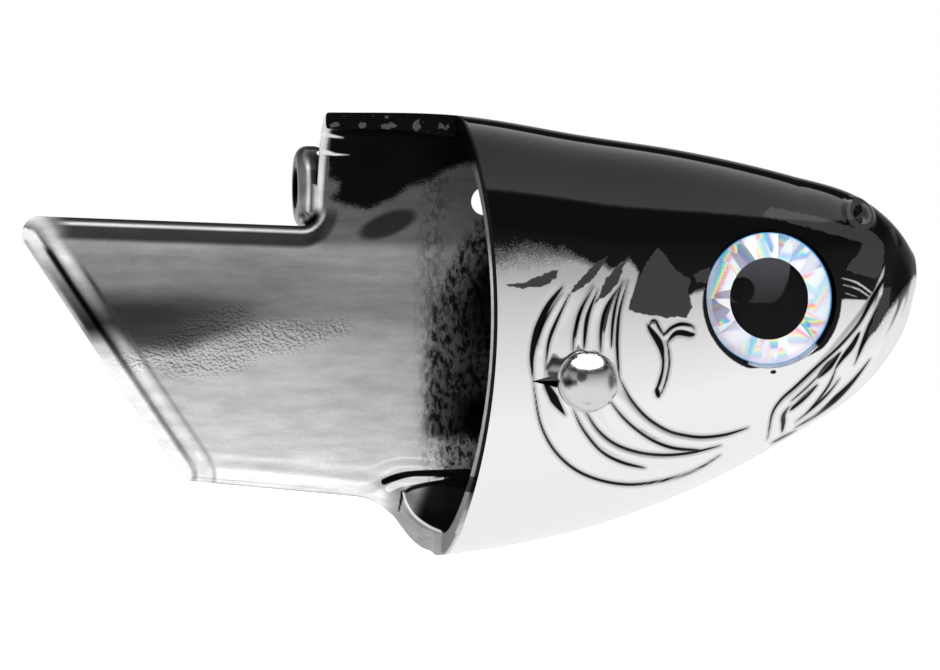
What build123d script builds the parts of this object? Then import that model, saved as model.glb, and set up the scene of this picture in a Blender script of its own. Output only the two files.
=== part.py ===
"""Bait head: a chromed fish-head cap for a dead bait, with a one-sided tail vane and a ball-headed bait pin.

Row frame, in millimetres: +X towards the snout, +Z towards the crown, +Y towards the left flank.
The origin is the front mouth of the leader tube, in the middle of the snout.
Distances called "back" are measured from the snout towards the tail, so they are negative X.
The bait's nose goes into the head from behind, its flank lies on the vane, and the pin goes through it.
"""
from build123d import *

import math
import os

# ---- head ----
head_length = 43.0        # snout to the gill rim, at the crown
crown_height = 14.5       # leader axis up to the crown, at the gill rim
belly_depth = 25.6        # leader axis down to the keel, at the gill rim
half_width = 10.5         # mid-plane to the cheek, at the gill rim
wall = 2.0                # moulded wall of both shells
cavity_back = 8.0         # snout to the front of the bait cavity
cavity_nose_taper = 1.5   # extra wall at the rounded front of the cavity

# ---- gill rim of the right shell ----
rim_scoop = 2.4           # how far the rim curves in at the cheek
rim_rake = 2.0            # the left shell's keel ends this much further back than the crown
keel_step = 0.7           # the right shell's keel ends this much in front of the left shell's

# ---- rear extension of the left shell ----
collar_length = 12.0      # gill rim to the rear edge of the collar, at the crown
vane_top = 4.4            # height of the vane's upper edge at the collar
vane_rise = 1.0           # how much higher the upper edge is at the tail
vane_low = -19.1          # height of the vane's lower corner
vane_length = 28.6        # collar to the tail's upper corner, before it is rounded
tail_rake = 16.2          # the tail's lower corner is this much further forward
root_length = 5.0         # keel rim to where the lower edge turns down to it
root_drop = 1.7           # how far the lower edge has dropped there
corner_radius = 1.6       # tail corners
root_radius = 5.0         # gentle bend where the lower edge turns down
step_radius = 1.3         # inner corner between collar and vane
vane_border = 2.0         # width of the thick border round the vane's panel
panel_recess = 0.5        # how far the panel lies below its border

# ---- eyes, the same on both sides ----
eye_back = 15.45
eye_height = -2.24
eye_radius = 6.0
eye_tilt = 5.0            # degrees that the eye faces forwards
eye_depth = 1.45          # cheek surface down to the foil
foil_thickness = 0.15
pad_thickness = 0.25
pad_margin = 0.2          # the pad is this much smaller than the foil, all round
dome_edge = 0.3           # straight edge of the resin dome
dome_rise = 1.5           # crown of the resin dome above the foil
socket_gap = 0.35         # socket wall to eye
socket_floor = 1.2        # wall behind the socket

# ---- leader tube and line hole ----
tube_bore_radius = 0.75
tube_radius = 1.1
tube_seat_gap = 0.02
tube_length = 9.5
line_hole_radius = 1.33
line_hole_to_rim = 3.7
line_hole_height = 6.8

# ---- rig guide, a ring lug on the left flank ----
guide_radius = 3.9
guide_hole_radius = 1.8
guide_thickness = 2.8
guide_edge = 0.6          # rounding of the lug's rims
guide_overhang = 1.6      # the lug stands this far behind the collar's edge
guide_height = 8.06
guide_offset = 10.6       # mid-plane to the middle of the ring

# ---- bait pin and its keeper ----
pin_to_rim = 10.1
pin_height = -9.57
pin_radius = 0.6
pin_point = 2.0           # length of the conical point
pin_tip_radius = 0.1      # blunted end of the point
ball_radius = 2.75
ball_sink = 1.15          # how deep the ball sits below the cheek
ball_socket_depth = 3.4   # blind hole in the ball for the shank
seat_gap = 0.1            # ball to its seat
pin_clearance = 0.05      # shank to the bore in the right shell
boss_radius = 2.6
boss_depth = 1.6          # bosses stand this far into the cavity
keeper_radius = 1.5
keeper_clearance = 0.02   # shank to the keeper's bore
keeper_seat_gap = 0.02
keeper_floor = 1.1        # flank wall left behind the keeper
tip_gap = 0.4             # end of the pin to the keeper's floor
notch_length = 2.2        # fingernail notch behind the ball
notch_width = 2.4
notch_depth = 0.9

# ---- locating pegs between the shells ----
peg_radius = 0.5
peg_length = 1.3
peg_gap = 0.05
front_peg_to_rim = 17.0   # pegs in the crown and keel walls
rear_peg_to_rim = 6.0
snout_peg_back = 5.2
snout_peg_height = 3.6

# ---- places that follow, all measured back from the snout ----
rim_low_back = head_length + rim_rake
collar_back = head_length + collar_length
tail_top_back = collar_back + vane_length
tail_low_back = tail_top_back - tail_rake
root_back = rim_low_back + root_length
line_hole_back = head_length - line_hole_to_rim
pin_back = head_length - pin_to_rim
peg_backs = (head_length - front_peg_to_rim, head_length - rear_peg_to_rim)

# Frames of the head: share of head length, then of crown height, belly depth and half width.
FRAMES = (
    (0.000, 0.110, 0.063, 0.152),
    (0.007, 0.145, 0.100, 0.229),
    (0.023, 0.217, 0.191, 0.324),
    (0.065, 0.348, 0.307, 0.467),
    (0.128, 0.476, 0.422, 0.590),
    (0.223, 0.586, 0.539, 0.714),
    (0.349, 0.686, 0.662, 0.819),
    (0.523, 0.790, 0.801, 0.914),
    (0.730, 0.879, 0.918, 0.971),
    (1.000, 1.000, 1.000, 1.000),
)
# Behind the rim the flank runs on almost straight: the same shares at the collar's edge and past the tail.
COLLAR_FRAME = (1.014, 1.030, 0.990)
TAIL_FRAME = (1.020, 1.045, 0.950)
FRAME_COUNT = 24          # frames that the loft passes through
PAST_TAIL = 3.0           # how far the last frame lies behind the tail
REACH = 60.0              # longer than the head is wide, for cutting tools


def frame_rows():
    """Frames as rows of root station, crown, belly and width share. The root station is even along a round nose."""
    rows = [(math.sqrt(back), *shares) for back, *shares in FRAMES]
    rows.append((math.sqrt(collar_back / head_length), *COLLAR_FRAME))
    rows.append((math.sqrt((tail_top_back + PAST_TAIL) / head_length), *TAIL_FRAME))
    return rows


ROWS = frame_rows()


def smooth(station, column):
    """One share at a root station, on a cubic curve through the rows."""
    at = [row[0] for row in ROWS]
    share = [row[column] for row in ROWS]

    def slope(i):
        low, high = max(i - 1, 0), min(i + 1, len(at) - 1)
        return (share[high] - share[low]) / (at[high] - at[low])

    i = min(sum(1 for value in at[1:] if value <= station), len(at) - 2)
    span = at[i + 1] - at[i]
    u = (station - at[i]) / span
    from_low = (1 + 2 * u) * (1 - u) ** 2 * share[i] + u * (1 - u) ** 2 * span * slope(i)
    from_high = u * u * (3 - 2 * u) * share[i + 1] + u * u * (u - 1) * span * slope(i + 1)
    return from_low + from_high


def frame_at(back):
    """Crown height, keel height and half width at a distance behind the snout."""
    station = math.sqrt(back / head_length)
    return (
        smooth(station, 1) * crown_height,
        -smooth(station, 2) * belly_depth,
        smooth(station, 3) * half_width,
    )


def flank(back, height, inset=0.0):
    """Distance from the mid-plane to the skin, or to a surface that lies inset below it."""
    crown, keel, width = frame_at(back)
    rise = (height - (crown + keel) / 2) / ((crown - keel) / 2 - inset)
    return (width - inset) * math.sqrt(max(0.0, 1 - rise * rise))


def hull(inset=0.0, first_back=0.0, nose_taper=0.0):
    """Solid through elliptical frames from first_back to behind the tail, shrunk by inset all round."""
    first, last = math.sqrt(first_back / head_length), ROWS[-1][0]
    frames = []
    for k in range(FRAME_COUNT + 1):
        back = head_length * (first + (last - first) * k / FRAME_COUNT) ** 2
        crown, keel, width = frame_at(back)
        shrink = inset + (nose_taper if k == 0 else 0.0)
        plane = Plane(origin=(-back, 0, (crown + keel) / 2), x_dir=(0, 1, 0), z_dir=(-1, 0, 0))
        height = max((crown - keel) / 2, width * 1.001)
        frames.append(plane * Ellipse(width - shrink, height - shrink))
    return loft(frames)


def across(back, height, side):
    """Plane on the mid-plane that faces out of one flank: side is -1 on the right and 1 on the left."""
    return Plane(origin=(-back, 0, height), x_dir=(1, 0, 0), z_dir=(0, side, 0))


def rod(plane, radius, start, end):
    """Cylinder along a plane's normal, from start to end."""
    return plane.offset((start + end) / 2) * Cylinder(radius, end - start)


def half(side):
    """Block that holds everything on one side of the mid-plane."""
    return Pos(0, side * REACH, 0) * Box(4 * REACH, 2 * REACH, 4 * REACH)


def prism(outline):
    """A side-view outline made wider than the head."""
    return extrude(Plane.XZ * outline, amount=REACH, both=True)


# ---- side-view outlines, drawn as X and Z ----

def rim_outline():
    """Everything in front of the gill rim, which is scooped like the edge of a gill cover."""
    top, low = (-head_length, crown_height), (-rim_low_back + keel_step, -belly_depth)
    scoop = ((top[0] + low[0]) / 2 + rim_scoop, (top[1] + low[1]) / 2)
    edge = ThreePointArc(top, scoop, low)
    rest = Polyline(low, (low[0], -REACH), (REACH, -REACH), (REACH, REACH), (top[0], REACH), top)
    return make_face(edge + rest)


def rear_outline(inset=0.0):
    """Side view of the left shell: head, collar and vane, with the rear edges pulled in by inset."""
    lean = (tail_top_back - tail_low_back) / (vane_top + vane_rise - vane_low)
    slant = inset * math.hypot(1, lean)
    upper, lower = vane_top - inset, vane_low + inset
    points = (
        (REACH, REACH),
        (-collar_back + inset, REACH),
        (-collar_back + inset, upper),
        (-tail_top_back + slant + lean * inset, upper + vane_rise),
        (-tail_low_back + slant - lean * inset, lower),
        (-root_back, lower - root_drop),
        (-rim_low_back, -belly_depth),
        (-rim_low_back, -REACH),
        (REACH, -REACH),
    )
    radii = {2: step_radius, 3: corner_radius, 4: corner_radius, 5: root_radius, 6: corner_radius}
    shape = make_face(Polyline(*points, close=True))
    for index, radius in radii.items():
        corner = shape.vertices().sort_by_distance((*points[index], 0))[0]
        shape = fillet(corner, radius)
    return shape


# ---- features that both shells take ----

def eye_plane(side):
    """Plane of one eye's foil, tilted forwards."""
    tilt = math.radians(eye_tilt)
    depth = flank(eye_back, eye_height) - eye_depth
    normal = (math.sin(tilt), side * math.cos(tilt), 0)
    return Plane(origin=(-eye_back, side * depth, eye_height), x_dir=(0, 0, 1), z_dir=normal)


def eye_socket(side):
    """Space that one eye is stuck into."""
    return rod(eye_plane(side), eye_radius + socket_gap, -pad_thickness, half_width)


def cavity():
    """Space for the bait's nose, which leaves a wall behind each eye socket."""
    space = hull(wall, cavity_back, cavity_nose_taper)
    for side in (-1, 1):
        cup = eye_radius + socket_gap + wall
        space -= rod(eye_plane(side), cup, -pad_thickness - socket_floor, half_width)
    return space


def peg_places():
    """Where the locating pegs stand on the mid-plane: distance behind the snout, and height."""
    places = [(snout_peg_back, snout_peg_height)]
    for back in peg_backs:
        crown, keel, _ = frame_at(back)
        places += [(back, crown - wall / 2), (back, keel + wall / 2)]
    return places


def tube_seat():
    """Bore for the leader tube, split between the two shells."""
    return rod(Plane.YZ, tube_radius + tube_seat_gap, -2 * tube_length, tube_length)


# ---- shells ----

def left_shell():
    """Left cheek with the collar, the tail vane, the rig guide, the keeper's boss and the locating pegs."""
    whole = hull() - cavity()
    shell = whole & prism(rear_outline()) & half(1)
    panel = hull(wall - panel_recess, cavity_back) - hull(wall, cavity_back)
    behind = Pos(-collar_back - REACH, 0, 0) * Box(2 * REACH, 2 * REACH, 4 * REACH)
    shell -= panel & prism(rear_outline(vane_border)) & behind
    inner = flank(pin_back, pin_height, wall)
    boss = rod(across(pin_back, pin_height, 1), boss_radius, inner - boss_depth, inner + wall / 2)
    shell += boss & hull(wall / 2)
    shell += rig_guide()
    shell -= rod(across(pin_back, pin_height, 1), keeper_radius + keeper_seat_gap, 0, keeper_end())
    shell -= rod(across(line_hole_back, line_hole_height, 1), line_hole_radius, 0, REACH)
    shell -= eye_socket(1)
    shell -= tube_seat()
    for back, height in peg_places():
        shell += rod(across(back, height, -1), peg_radius, -wall / 2, peg_length)
    return shell


def rig_guide():
    """Ring lug outside the left flank, which leads the hook rig past the bait."""
    rear = -collar_back - guide_overhang
    middle = rear + guide_thickness / 2
    at = Plane(origin=(middle, guide_offset, guide_height), x_dir=(0, 1, 0), z_dir=(1, 0, 0))
    ring = at * Cylinder(guide_radius, guide_thickness)
    ring = fillet(ring.edges().filter_by(GeomType.CIRCLE), guide_edge)
    ring -= at * Cylinder(guide_hole_radius, 2 * guide_thickness)
    return ring - hull(wall / 2, cavity_back)


def right_shell():
    """Right cheek, cut off at the gill rim, with the ball's seat, the pin's boss and the peg holes."""
    shell = (hull() - cavity()) & prism(rim_outline()) & half(-1)
    plane = across(pin_back, pin_height, -1)
    inner = flank(pin_back, pin_height, wall)
    shell += rod(plane, boss_radius, inner - boss_depth, inner + wall / 2) & hull(wall / 2)
    shell -= plane.offset(ball_offset()) * Sphere(ball_radius + seat_gap)
    shell -= rod(plane, pin_radius + pin_clearance, 0, REACH)
    shell -= nail_notch()
    shell -= eye_socket(-1)
    shell -= tube_seat()
    for back, height in peg_places():
        shell -= rod(across(back, height, -1), peg_radius + peg_gap, -wall, peg_length + peg_gap)
    return shell


def nail_notch():
    """Pointed groove behind the ball, for a fingernail under it."""
    skin = flank(pin_back, pin_height)
    tip = (-ball_radius - notch_length, 0)
    wide = (0, notch_width / 2)
    outline = make_face(Polyline(tip, wide, (0, -notch_width / 2), close=True))
    plane = across(pin_back, pin_height, -1).offset(skin - notch_depth)
    return extrude(plane * outline, amount=2 * notch_depth)


# ---- bait pin and keeper ----

def ball_offset():
    """Mid-plane to the ball's centre."""
    return flank(pin_back, pin_height) + ball_radius - ball_sink


def keeper_end():
    """Mid-plane to the closed end of the keeper's hole."""
    return flank(pin_back, pin_height) - keeper_floor


def pin_ball():
    """Steel ball, drilled blind for the shank."""
    plane = across(pin_back, pin_height, -1)
    ball = plane.offset(ball_offset()) * Sphere(ball_radius)
    start = ball_offset() - 2 * ball_radius
    return ball - rod(plane, pin_radius, start, ball_offset() - ball_radius + ball_socket_depth)


def pin_shank():
    """Straight wire with a conical point, from the ball to the keeper."""
    plane = across(pin_back, pin_height, -1)
    top = ball_offset() - ball_radius + ball_socket_depth
    tip = tip_gap - keeper_end()
    shank = rod(plane, pin_radius, tip + pin_point, top)
    cone = plane.offset(tip + pin_point / 2) * Cone(pin_tip_radius, pin_radius, pin_point)
    return shank + cone


def pin_keeper():
    """Soft bush in the left boss, which holds the pin by friction."""
    plane = across(pin_back, pin_height, 1)
    start = flank(pin_back, pin_height, wall) - boss_depth
    bush = rod(plane, keeper_radius, start, keeper_end())
    return bush - rod(plane, pin_radius + keeper_clearance, 0, REACH)


# ---- eyes and leader tube ----

def eye_pad(side):
    """Adhesive foam pad in the socket."""
    return rod(eye_plane(side), eye_radius - pad_margin, -pad_thickness, 0)


def eye_foil(side):
    """Foil disc with the iris and the pupil printed on it."""
    return rod(eye_plane(side), eye_radius, 0, foil_thickness)


def eye_dome(side):
    """Clear resin dome on the foil: a spherical cap on a short straight edge."""
    cap_radius = (eye_radius**2 + dome_rise**2) / (2 * dome_rise)
    base = eye_plane(side).offset(foil_thickness)
    edge = rod(base, eye_radius, 0, dome_edge)
    cap = base.offset(dome_edge + dome_rise - cap_radius) * Sphere(cap_radius)
    blank = rod(base, eye_radius, dome_edge / 2, dome_edge + 2 * dome_rise)
    return edge + (cap & blank)


def leader_tube():
    """Steel tube through the snout, which keeps the leader off the plastic."""
    tube = rod(Plane.YZ, tube_radius, -tube_length, 0)
    return tube - rod(Plane.YZ, tube_bore_radius, -2 * tube_length, tube_length)


def main():
    """Writes every sub-part."""
    pieces = {
        "left_shell": left_shell(),
        "right_shell": right_shell(),
        "leader_tube": leader_tube(),
        "pin_ball": pin_ball(),
        "pin_shank": pin_shank(),
        "pin_keeper": pin_keeper(),
    }
    for name, side in (("right", -1), ("left", 1)):
        pieces[f"{name}_eye_pad"] = eye_pad(side)
        pieces[f"{name}_eye_foil"] = eye_foil(side)
        pieces[f"{name}_eye_dome"] = eye_dome(side)
    os.makedirs("parts", exist_ok=True)
    for name, piece in pieces.items():
        export_step(piece, f"parts/{name}.step")


if __name__ == "__main__":
    main()
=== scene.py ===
"""Bait head: the looks of a chromed fish-head cap with a tail vane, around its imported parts.

Laid out as an add-on: sizes and colours are properties, and each group of pieces has its operator.
Row frame: +X towards the snout, +Z towards the crown, +Y towards the left flank, metres.
The form code works in millimetres. A distance called "back" runs from the snout towards the tail.
"""
import math

import bmesh
import bpy
import numpy as np
from bpy.props import FloatProperty, FloatVectorProperty, PointerProperty
from mathutils import Matrix, Vector


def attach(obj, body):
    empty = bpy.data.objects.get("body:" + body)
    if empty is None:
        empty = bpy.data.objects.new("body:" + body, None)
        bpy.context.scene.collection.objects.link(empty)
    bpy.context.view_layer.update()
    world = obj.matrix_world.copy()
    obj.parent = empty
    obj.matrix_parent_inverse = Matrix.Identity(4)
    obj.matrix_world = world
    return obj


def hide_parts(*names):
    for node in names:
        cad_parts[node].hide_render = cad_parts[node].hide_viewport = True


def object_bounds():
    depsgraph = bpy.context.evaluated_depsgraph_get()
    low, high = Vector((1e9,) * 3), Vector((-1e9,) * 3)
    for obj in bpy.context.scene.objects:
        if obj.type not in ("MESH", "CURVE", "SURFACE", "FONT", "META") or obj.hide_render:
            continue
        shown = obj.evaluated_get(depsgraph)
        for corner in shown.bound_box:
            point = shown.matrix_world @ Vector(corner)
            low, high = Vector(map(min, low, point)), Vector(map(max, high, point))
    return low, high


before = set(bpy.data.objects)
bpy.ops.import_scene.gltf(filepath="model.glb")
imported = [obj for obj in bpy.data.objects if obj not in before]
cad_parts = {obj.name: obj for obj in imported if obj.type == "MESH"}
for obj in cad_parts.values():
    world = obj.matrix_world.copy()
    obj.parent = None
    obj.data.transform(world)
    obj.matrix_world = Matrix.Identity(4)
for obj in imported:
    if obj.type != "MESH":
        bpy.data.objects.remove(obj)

CAD_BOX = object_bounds()

bl_info = {
    "name": "Bait head",
    "version": (1, 0, 0),
    "blender": (4, 5, 0),
    "location": "View3D > Sidebar > Bait head",
    "description": "Chromed bait head with relief, holographic eyes and a ball-headed bait pin",
    "category": "Object",
}

MM = 0.001
BLOCK = 20000            # places measured against a line at once, to spare memory
ARC_STEPS = 12           # steps on half of a rounded corner
CURVE_STEPS = 8          # steps of a curve between two of its given points
RIM_STEPS = 8            # steps over a rounded rim
CREASE_DEGREES = 50      # edges bent more than this stay sharp
LEAST_FACES = 1000       # a shell with fewer faces has lost its form
SEAM_ROWS = (0.05, 0.12, 0.22)     # close rows beside the mid-plane
CAMERA_AIM = (-41.7, 0, -5.6)      # point that the camera looks at
# Finishes on a shell: skin, all that lies behind it, mid-plane, ring lug.
OUTSIDE, INSIDE, SEAM, LUG = range(4)
SHELL_FINISHES = ("chrome_and_lacquer", "smoky_chrome", "seam_face", "worn_chrome")

# Frames of the head: share of head length, then of crown height, belly depth and half width.
FRAMES = (
    (0.000, 0.110, 0.063, 0.152),
    (0.007, 0.145, 0.100, 0.229),
    (0.023, 0.217, 0.191, 0.324),
    (0.065, 0.348, 0.307, 0.467),
    (0.128, 0.476, 0.422, 0.590),
    (0.223, 0.586, 0.539, 0.714),
    (0.349, 0.686, 0.662, 0.819),
    (0.523, 0.790, 0.801, 0.914),
    (0.730, 0.879, 0.918, 0.971),
    (1.000, 1.000, 1.000, 1.000),
)
# The same shares at the collar's rear edge, and at a place past the tail.
COLLAR_FRAME = (1.014, 1.030, 0.990)
TAIL_FRAME = (1.020, 1.045, 0.950)
PAST_TAIL = 3.0

# ---- relief on the cheeks: distance behind the snout and height, along the middle of each mark ----
# Rounded beads: middle line, half width at the start, middle and end, and height.
BEADS = (
    (((34.7, -1.5), (36.0, -3.7), (36.8, -5.4), (37.2, -7.6)), (0.15, 0.36, 0.3), 0.1),
    (((31.9, -0.6), (33.1, -3.4), (33.5, -5.2), (33.6, -6.8)), (0.15, 0.4, 0.3), 0.12),
    (((29.0, -0.4), (30.2, -2.8), (30.7, -4.8), (30.8, -6.9)), (0.15, 0.5, 0.3), 0.13),
    (((33.6, -11.4), (32.3, -13.9), (30.4, -15.6), (28.2, -16.5), (25.7, -16.9), (22.4, -16.8), (19.8, -16.1)),
     (0.5, 0.48, 0.3), 0.28),
    (((30.4, -9.8), (29.0, -11.9), (27.5, -13.3), (25.6, -14.5), (23.6, -15.1), (21.2, -15.35), (19.0, -15.0),
      (16.9, -14.2)), (0.6, 0.5, 0.25), 0.3),
    # forked vein in front of the gills
    (((26.7, -4.3), (26.1, -5.1), (25.66, -5.8)), (0.2, 0.2, 0.2), 0.09),
    (((22.9, -4.95), (23.8, -4.75), (24.4, -4.82), (25.0, -5.15), (25.66, -5.8)), (0.2, 0.2, 0.2), 0.08),
    (((25.6, -5.9), (25.4, -7.0), (25.33, -8.0), (25.48, -9.0), (25.8, -10.1), (26.0, -10.7)), (0.2, 0.2, 0.2), 0.1),
    # jaw: upper lip, its rounded rear end, and a short ridge inside it
    (((4.6, -0.6), (5.8, -2.9), (8.4, -6.1), (11.2, -9.4), (13.3, -11.6), (13.85, -12.8), (13.6, -14.6)),
     (0.3, 0.45, 0.5), 0.3),
    (((10.4, -9.6), (11.6, -10.75), (13.0, -12.0)), (0.16, 0.3, 0.2), 0.16),
    (((6.0, -6.4), (7.4, -8.6), (9.2, -11.4), (11.3, -13.8)), (0.3, 0.5, 0.3), 0.22),
    (((1.9, -1.4), (3.2, -4.2), (5.0, -7.4), (7.4, -10.8), (9.8, -13.4)), (0.4, 0.9, 0.5), 0.3),
)
# Grooves: line, half width at the start, middle and end, and depth. The finish paints them near black and darkens the
# chrome beside them, as painted shade.
GROOVES = (
    (((34.9, -1.1), (36.3, -2.9), (37.3, -5.2), (37.75, -7.4), (37.6, -9.6)), (0.3, 0.46, 0.17), 0.2),
    (((37.6, -9.4), (37.4, -10.8), (36.8, -13.4), (35.5, -15.7), (33.5, -17.5), (31.0, -18.6), (28.1, -19.1),
      (25.3, -18.9), (22.7, -18.3), (20.9, -17.5), (19.4, -16.5)), (0.19, 0.18, 0.22), 0.03),
    (((34.3, -1.8), (35.4, -4.0), (36.2, -6.0), (36.5, -8.4)), (0.12, 0.22, 0.14), 0.14),
    (((32.1, -1.2), (33.3, -3.2), (33.9, -5.4), (34.0, -7.0)), (0.1, 0.18, 0.16), 0.14),
    (((31.7, -1.4), (32.7, -3.9), (33.0, -6.7)), (0.1, 0.26, 0.24), 0.14),
    (((29.6, -1.0), (30.9, -2.9), (31.4, -4.8), (31.5, -7.1)), (0.12, 0.2, 0.2), 0.14),
    (((29.4, -0.6), (30.1, -2.8), (30.4, -4.6), (30.5, -6.6)), (0.1, 0.2, 0.2), 0.16),
    (((28.9, -0.6), (29.7, -3.2), (29.95, -5.6), (29.9, -7.4), (29.7, -9.5)), (0.12, 0.2, 0.2), 0.16),
    (((33.9, -12.0), (32.9, -13.9), (31.1, -15.9), (29.0, -17.0), (26.6, -17.6)), (0.18, 0.16, 0.28), 0.14),
    (((32.8, -12.2), (31.5, -14.0), (29.8, -15.3), (27.5, -16.1), (24.9, -16.4), (22.2, -16.2), (19.5, -15.6)),
     (0.24, 0.17, 0.22), 0.14),
    (((29.7, -9.3), (28.6, -11.2), (27.0, -12.9), (25.0, -14.1), (23.2, -14.6), (21.4, -14.8), (19.2, -14.6),
      (17.0, -14.0)), (0.24, 0.17, 0.26), 0.16),
    (((30.7, -11.1), (29.4, -12.7), (27.9, -14.0), (26.1, -15.1), (24.0, -15.8), (21.4, -16.0)),
     (0.2, 0.17, 0.28), 0.14),
    # beside the vein
    (((26.95, -4.6), (26.75, -4.2), (26.4, -4.2), (26.1, -4.8), (25.66, -5.5)), (0.16, 0.16, 0.2), 0.1),
    (((25.75, -5.6), (25.03, -4.87), (24.36, -4.52), (23.84, -4.45), (23.1, -4.62), (22.75, -5.0)),
     (0.2, 0.16, 0.2), 0.1),
    (((27.2, -4.5), (26.8, -5.1), (26.25, -5.85), (25.92, -6.5), (25.74, -7.2), (25.68, -8.0)),
     (0.34, 0.42, 0.2), 0.16),
    (((25.8, -6.6), (25.68, -7.5), (25.67, -8.2), (25.77, -9.0), (26.05, -10.0), (26.3, -10.6)),
     (0.2, 0.15, 0.26), 0.1),
    (((25.35, -6.0), (25.15, -7.1), (25.1, -8.0), (25.22, -9.0), (25.44, -9.9), (25.75, -10.8)),
     (0.16, 0.13, 0.16), 0.1),
    (((25.35, -6.2), (24.88, -5.6), (24.4, -5.28), (23.77, -5.3), (23.1, -5.45), (22.7, -5.4)),
     (0.15, 0.34, 0.42), 0.16),
    (((26.25, -10.2), (26.1, -10.65), (25.95, -11.15)), (0.3, 0.3, 0.3), 0.12),
    # edge of the dip that the ball sits in
    (((36.6, -9.6), (36.0, -10.5), (35.4, -11.5), (34.5, -12.7)), (0.4, 0.52, 0.2), 0.1),
    # jaw
    (((3.6, 0.6), (4.23, -0.55), (5.45, -2.26), (6.75, -4.48), (8.6, -6.5), (10.66, -8.3), (12.7, -10.2),
      (14.1, -11.5), (14.8, -12.9), (14.75, -15.2)), (0.42, 0.16, 0.22), 0.2),
    (((6.6, -5.3), (7.26, -6.53), (8.24, -7.75), (8.9, -8.8)), (0.36, 0.36, 0.16), 0.2),
    (((8.4, -7.1), (9.3, -8.1), (10.7, -9.5)), (0.2, 0.56, 0.5), 0.14),
    (((10.4, -9.1), (11.7, -10.4), (13.1, -11.6)), (0.15, 0.15, 0.12), 0.08),
    (((10.5, -10.1), (11.6, -11.2), (13.0, -12.5)), (0.26, 0.34, 0.3), 0.16),
    (((13.2, -12.1), (13.6, -12.9), (13.45, -13.7), (13.3, -14.6)), (0.26, 0.34, 0.22), 0.14),
    (((3.6, -1.4), (4.9, -3.8), (6.0, -6.0), (6.9, -8.3)), (0.5, 0.5, 0.15), 0.3),
    (((5.3, -7.8), (6.2, -9.1), (7.15, -10.3), (8.5, -11.7), (10.1, -13.1), (12.0, -14.2)), (0.14, 0.44, 0.2), 0.14),
    (((8.3, -9.6), (9.3, -11.0), (10.8, -12.5), (12.1, -13.6)), (0.1, 0.18, 0.1), 0.1),
    (((8.8, -8.7), (9.25, -10.1), (10.2, -11.6), (11.5, -13.2)), (0.16, 0.16, 0.1), 0.1),
    (((14.2, -15.6), (12.9, -15.0), (11.6, -14.4)), (0.2, 0.2, 0.15), 0.12),
    # notch in the upper lip
    (((2.4, 4.3), (2.2, 3.4), (2.2, 2.5)), (0.3, 0.35, 0.2), 0.25),
)
# Shallow troughs of the gill plates between the beads.
TROUGHS = (
    (((33.3, -1.4), (34.9, -4.6), (35.3, -8.0), (35.6, -11.0), (34.6, -13.8), (32.8, -15.9), (30.2, -17.4),
      (27.0, -18.1), (23.5, -17.6), (20.6, -16.8)), (0.9, 1.7, 0.7), 0.2),
    (((30.8, -1.8), (31.9, -4.6), (32.3, -7.4), (31.9, -10.6), (30.8, -12.7), (29.0, -14.5), (26.6, -15.6),
      (23.6, -16.1)), (0.6, 1.0, 0.3), 0.14),
)
# Fine lines where the lacquer is rubbed through to the chrome, and their half widths.
RUBBED = (
    (((8.5, -0.4), (7.0, -0.8), (5.5, -1.75)), (0.04, 0.09, 0.08)),
    (((8.4, -1.0), (6.9, -1.4), (5.7, -2.1)), (0.04, 0.07, 0.06)),
    (((8.2, -1.75), (7.0, -2.1)), (0.03, 0.04, 0.03)),
)
NOSTRIL = (6.05, 5.5)     # behind the snout, and height
# Middle of the ledge on the inner face above the keel.
KEEL_LEDGE = ((52.0, -19.6), (50.0, -19.2), (48.0, -18.9), (45.4, -19.1), (42.0, -19.7), (37.0, -20.6), (31.0, -21.4))


def curve(points):
    """Smooth line through points, as rows."""
    p = np.array([points[0], *points, points[-1]], float)
    u = np.linspace(0, 1, CURVE_STEPS, endpoint=False)[:, None]
    runs = []
    for a, b, c, d in zip(p, p[1:], p[2:], p[3:]):
        runs.append(0.5 * (2 * b + (c - a) * u + (2 * a - 5 * b + 4 * c - d) * u**2 + (3 * b - a - 3 * c + d) * u**3))
    return np.vstack([*runs, p[-1]])


def running_total(steps):
    """Sums of the first 0, 1, 2 and more steps."""
    return np.concatenate([[0], np.cumsum(steps)])


def path_length(path):
    """Length of a path up to each of its points."""
    return running_total(np.linalg.norm(np.diff(path, axis=0), axis=1))


def near_line(line, back, height):
    """Signed distance of each place to a line, positive on its left, and how far along the line it lies, 0 to 1."""
    a, b = line[:-1][None], line[1:][None]
    run = b - a
    length = np.linalg.norm(run, axis=-1)
    start = running_total(length[0])
    signed, along = np.zeros(len(back)), np.zeros(len(back))
    for first in range(0, len(back), BLOCK):
        part = slice(first, first + BLOCK)
        off = np.stack([back[part], height[part]], -1)[:, None] - a
        t = np.clip((off * run).sum(-1) / length**2, 0, 1)
        off = off - t[..., None] * run
        far = np.linalg.norm(off, axis=-1)
        k = far.argmin(1)[:, None]
        cross = run[..., 0] * off[..., 1] - run[..., 1] * off[..., 0]
        along[part] = ((start[k] + np.take_along_axis(t * length, k, 1)) / start[-1])[:, 0]
        signed[part] = (np.take_along_axis(far, k, 1) * np.sign(np.take_along_axis(cross, k, 1)))[:, 0]
    return signed, along


def boxed(line, margin, back, height):
    """Numbers of the places in the box round a line, widened by a margin."""
    low, high = line.min(0) - margin, line.max(0) + margin
    return np.flatnonzero((back > low[0]) & (back < high[0]) & (height > low[1]) & (height < high[1]))


def half_width(along, widths):
    """Half width along a stroke, from those at its start, middle and end."""
    return np.interp(along, (0, 0.5, 1), widths)


def from_nostril(back, height):
    return np.hypot(back - NOSTRIL[0], height - NOSTRIL[1])


def ease(value, low, high):
    """Smooth step from 0 at low to 1 at high."""
    u = np.clip((value - low) / (high - low), 0, 1)
    return u * u * (3 - 2 * u)


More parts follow.
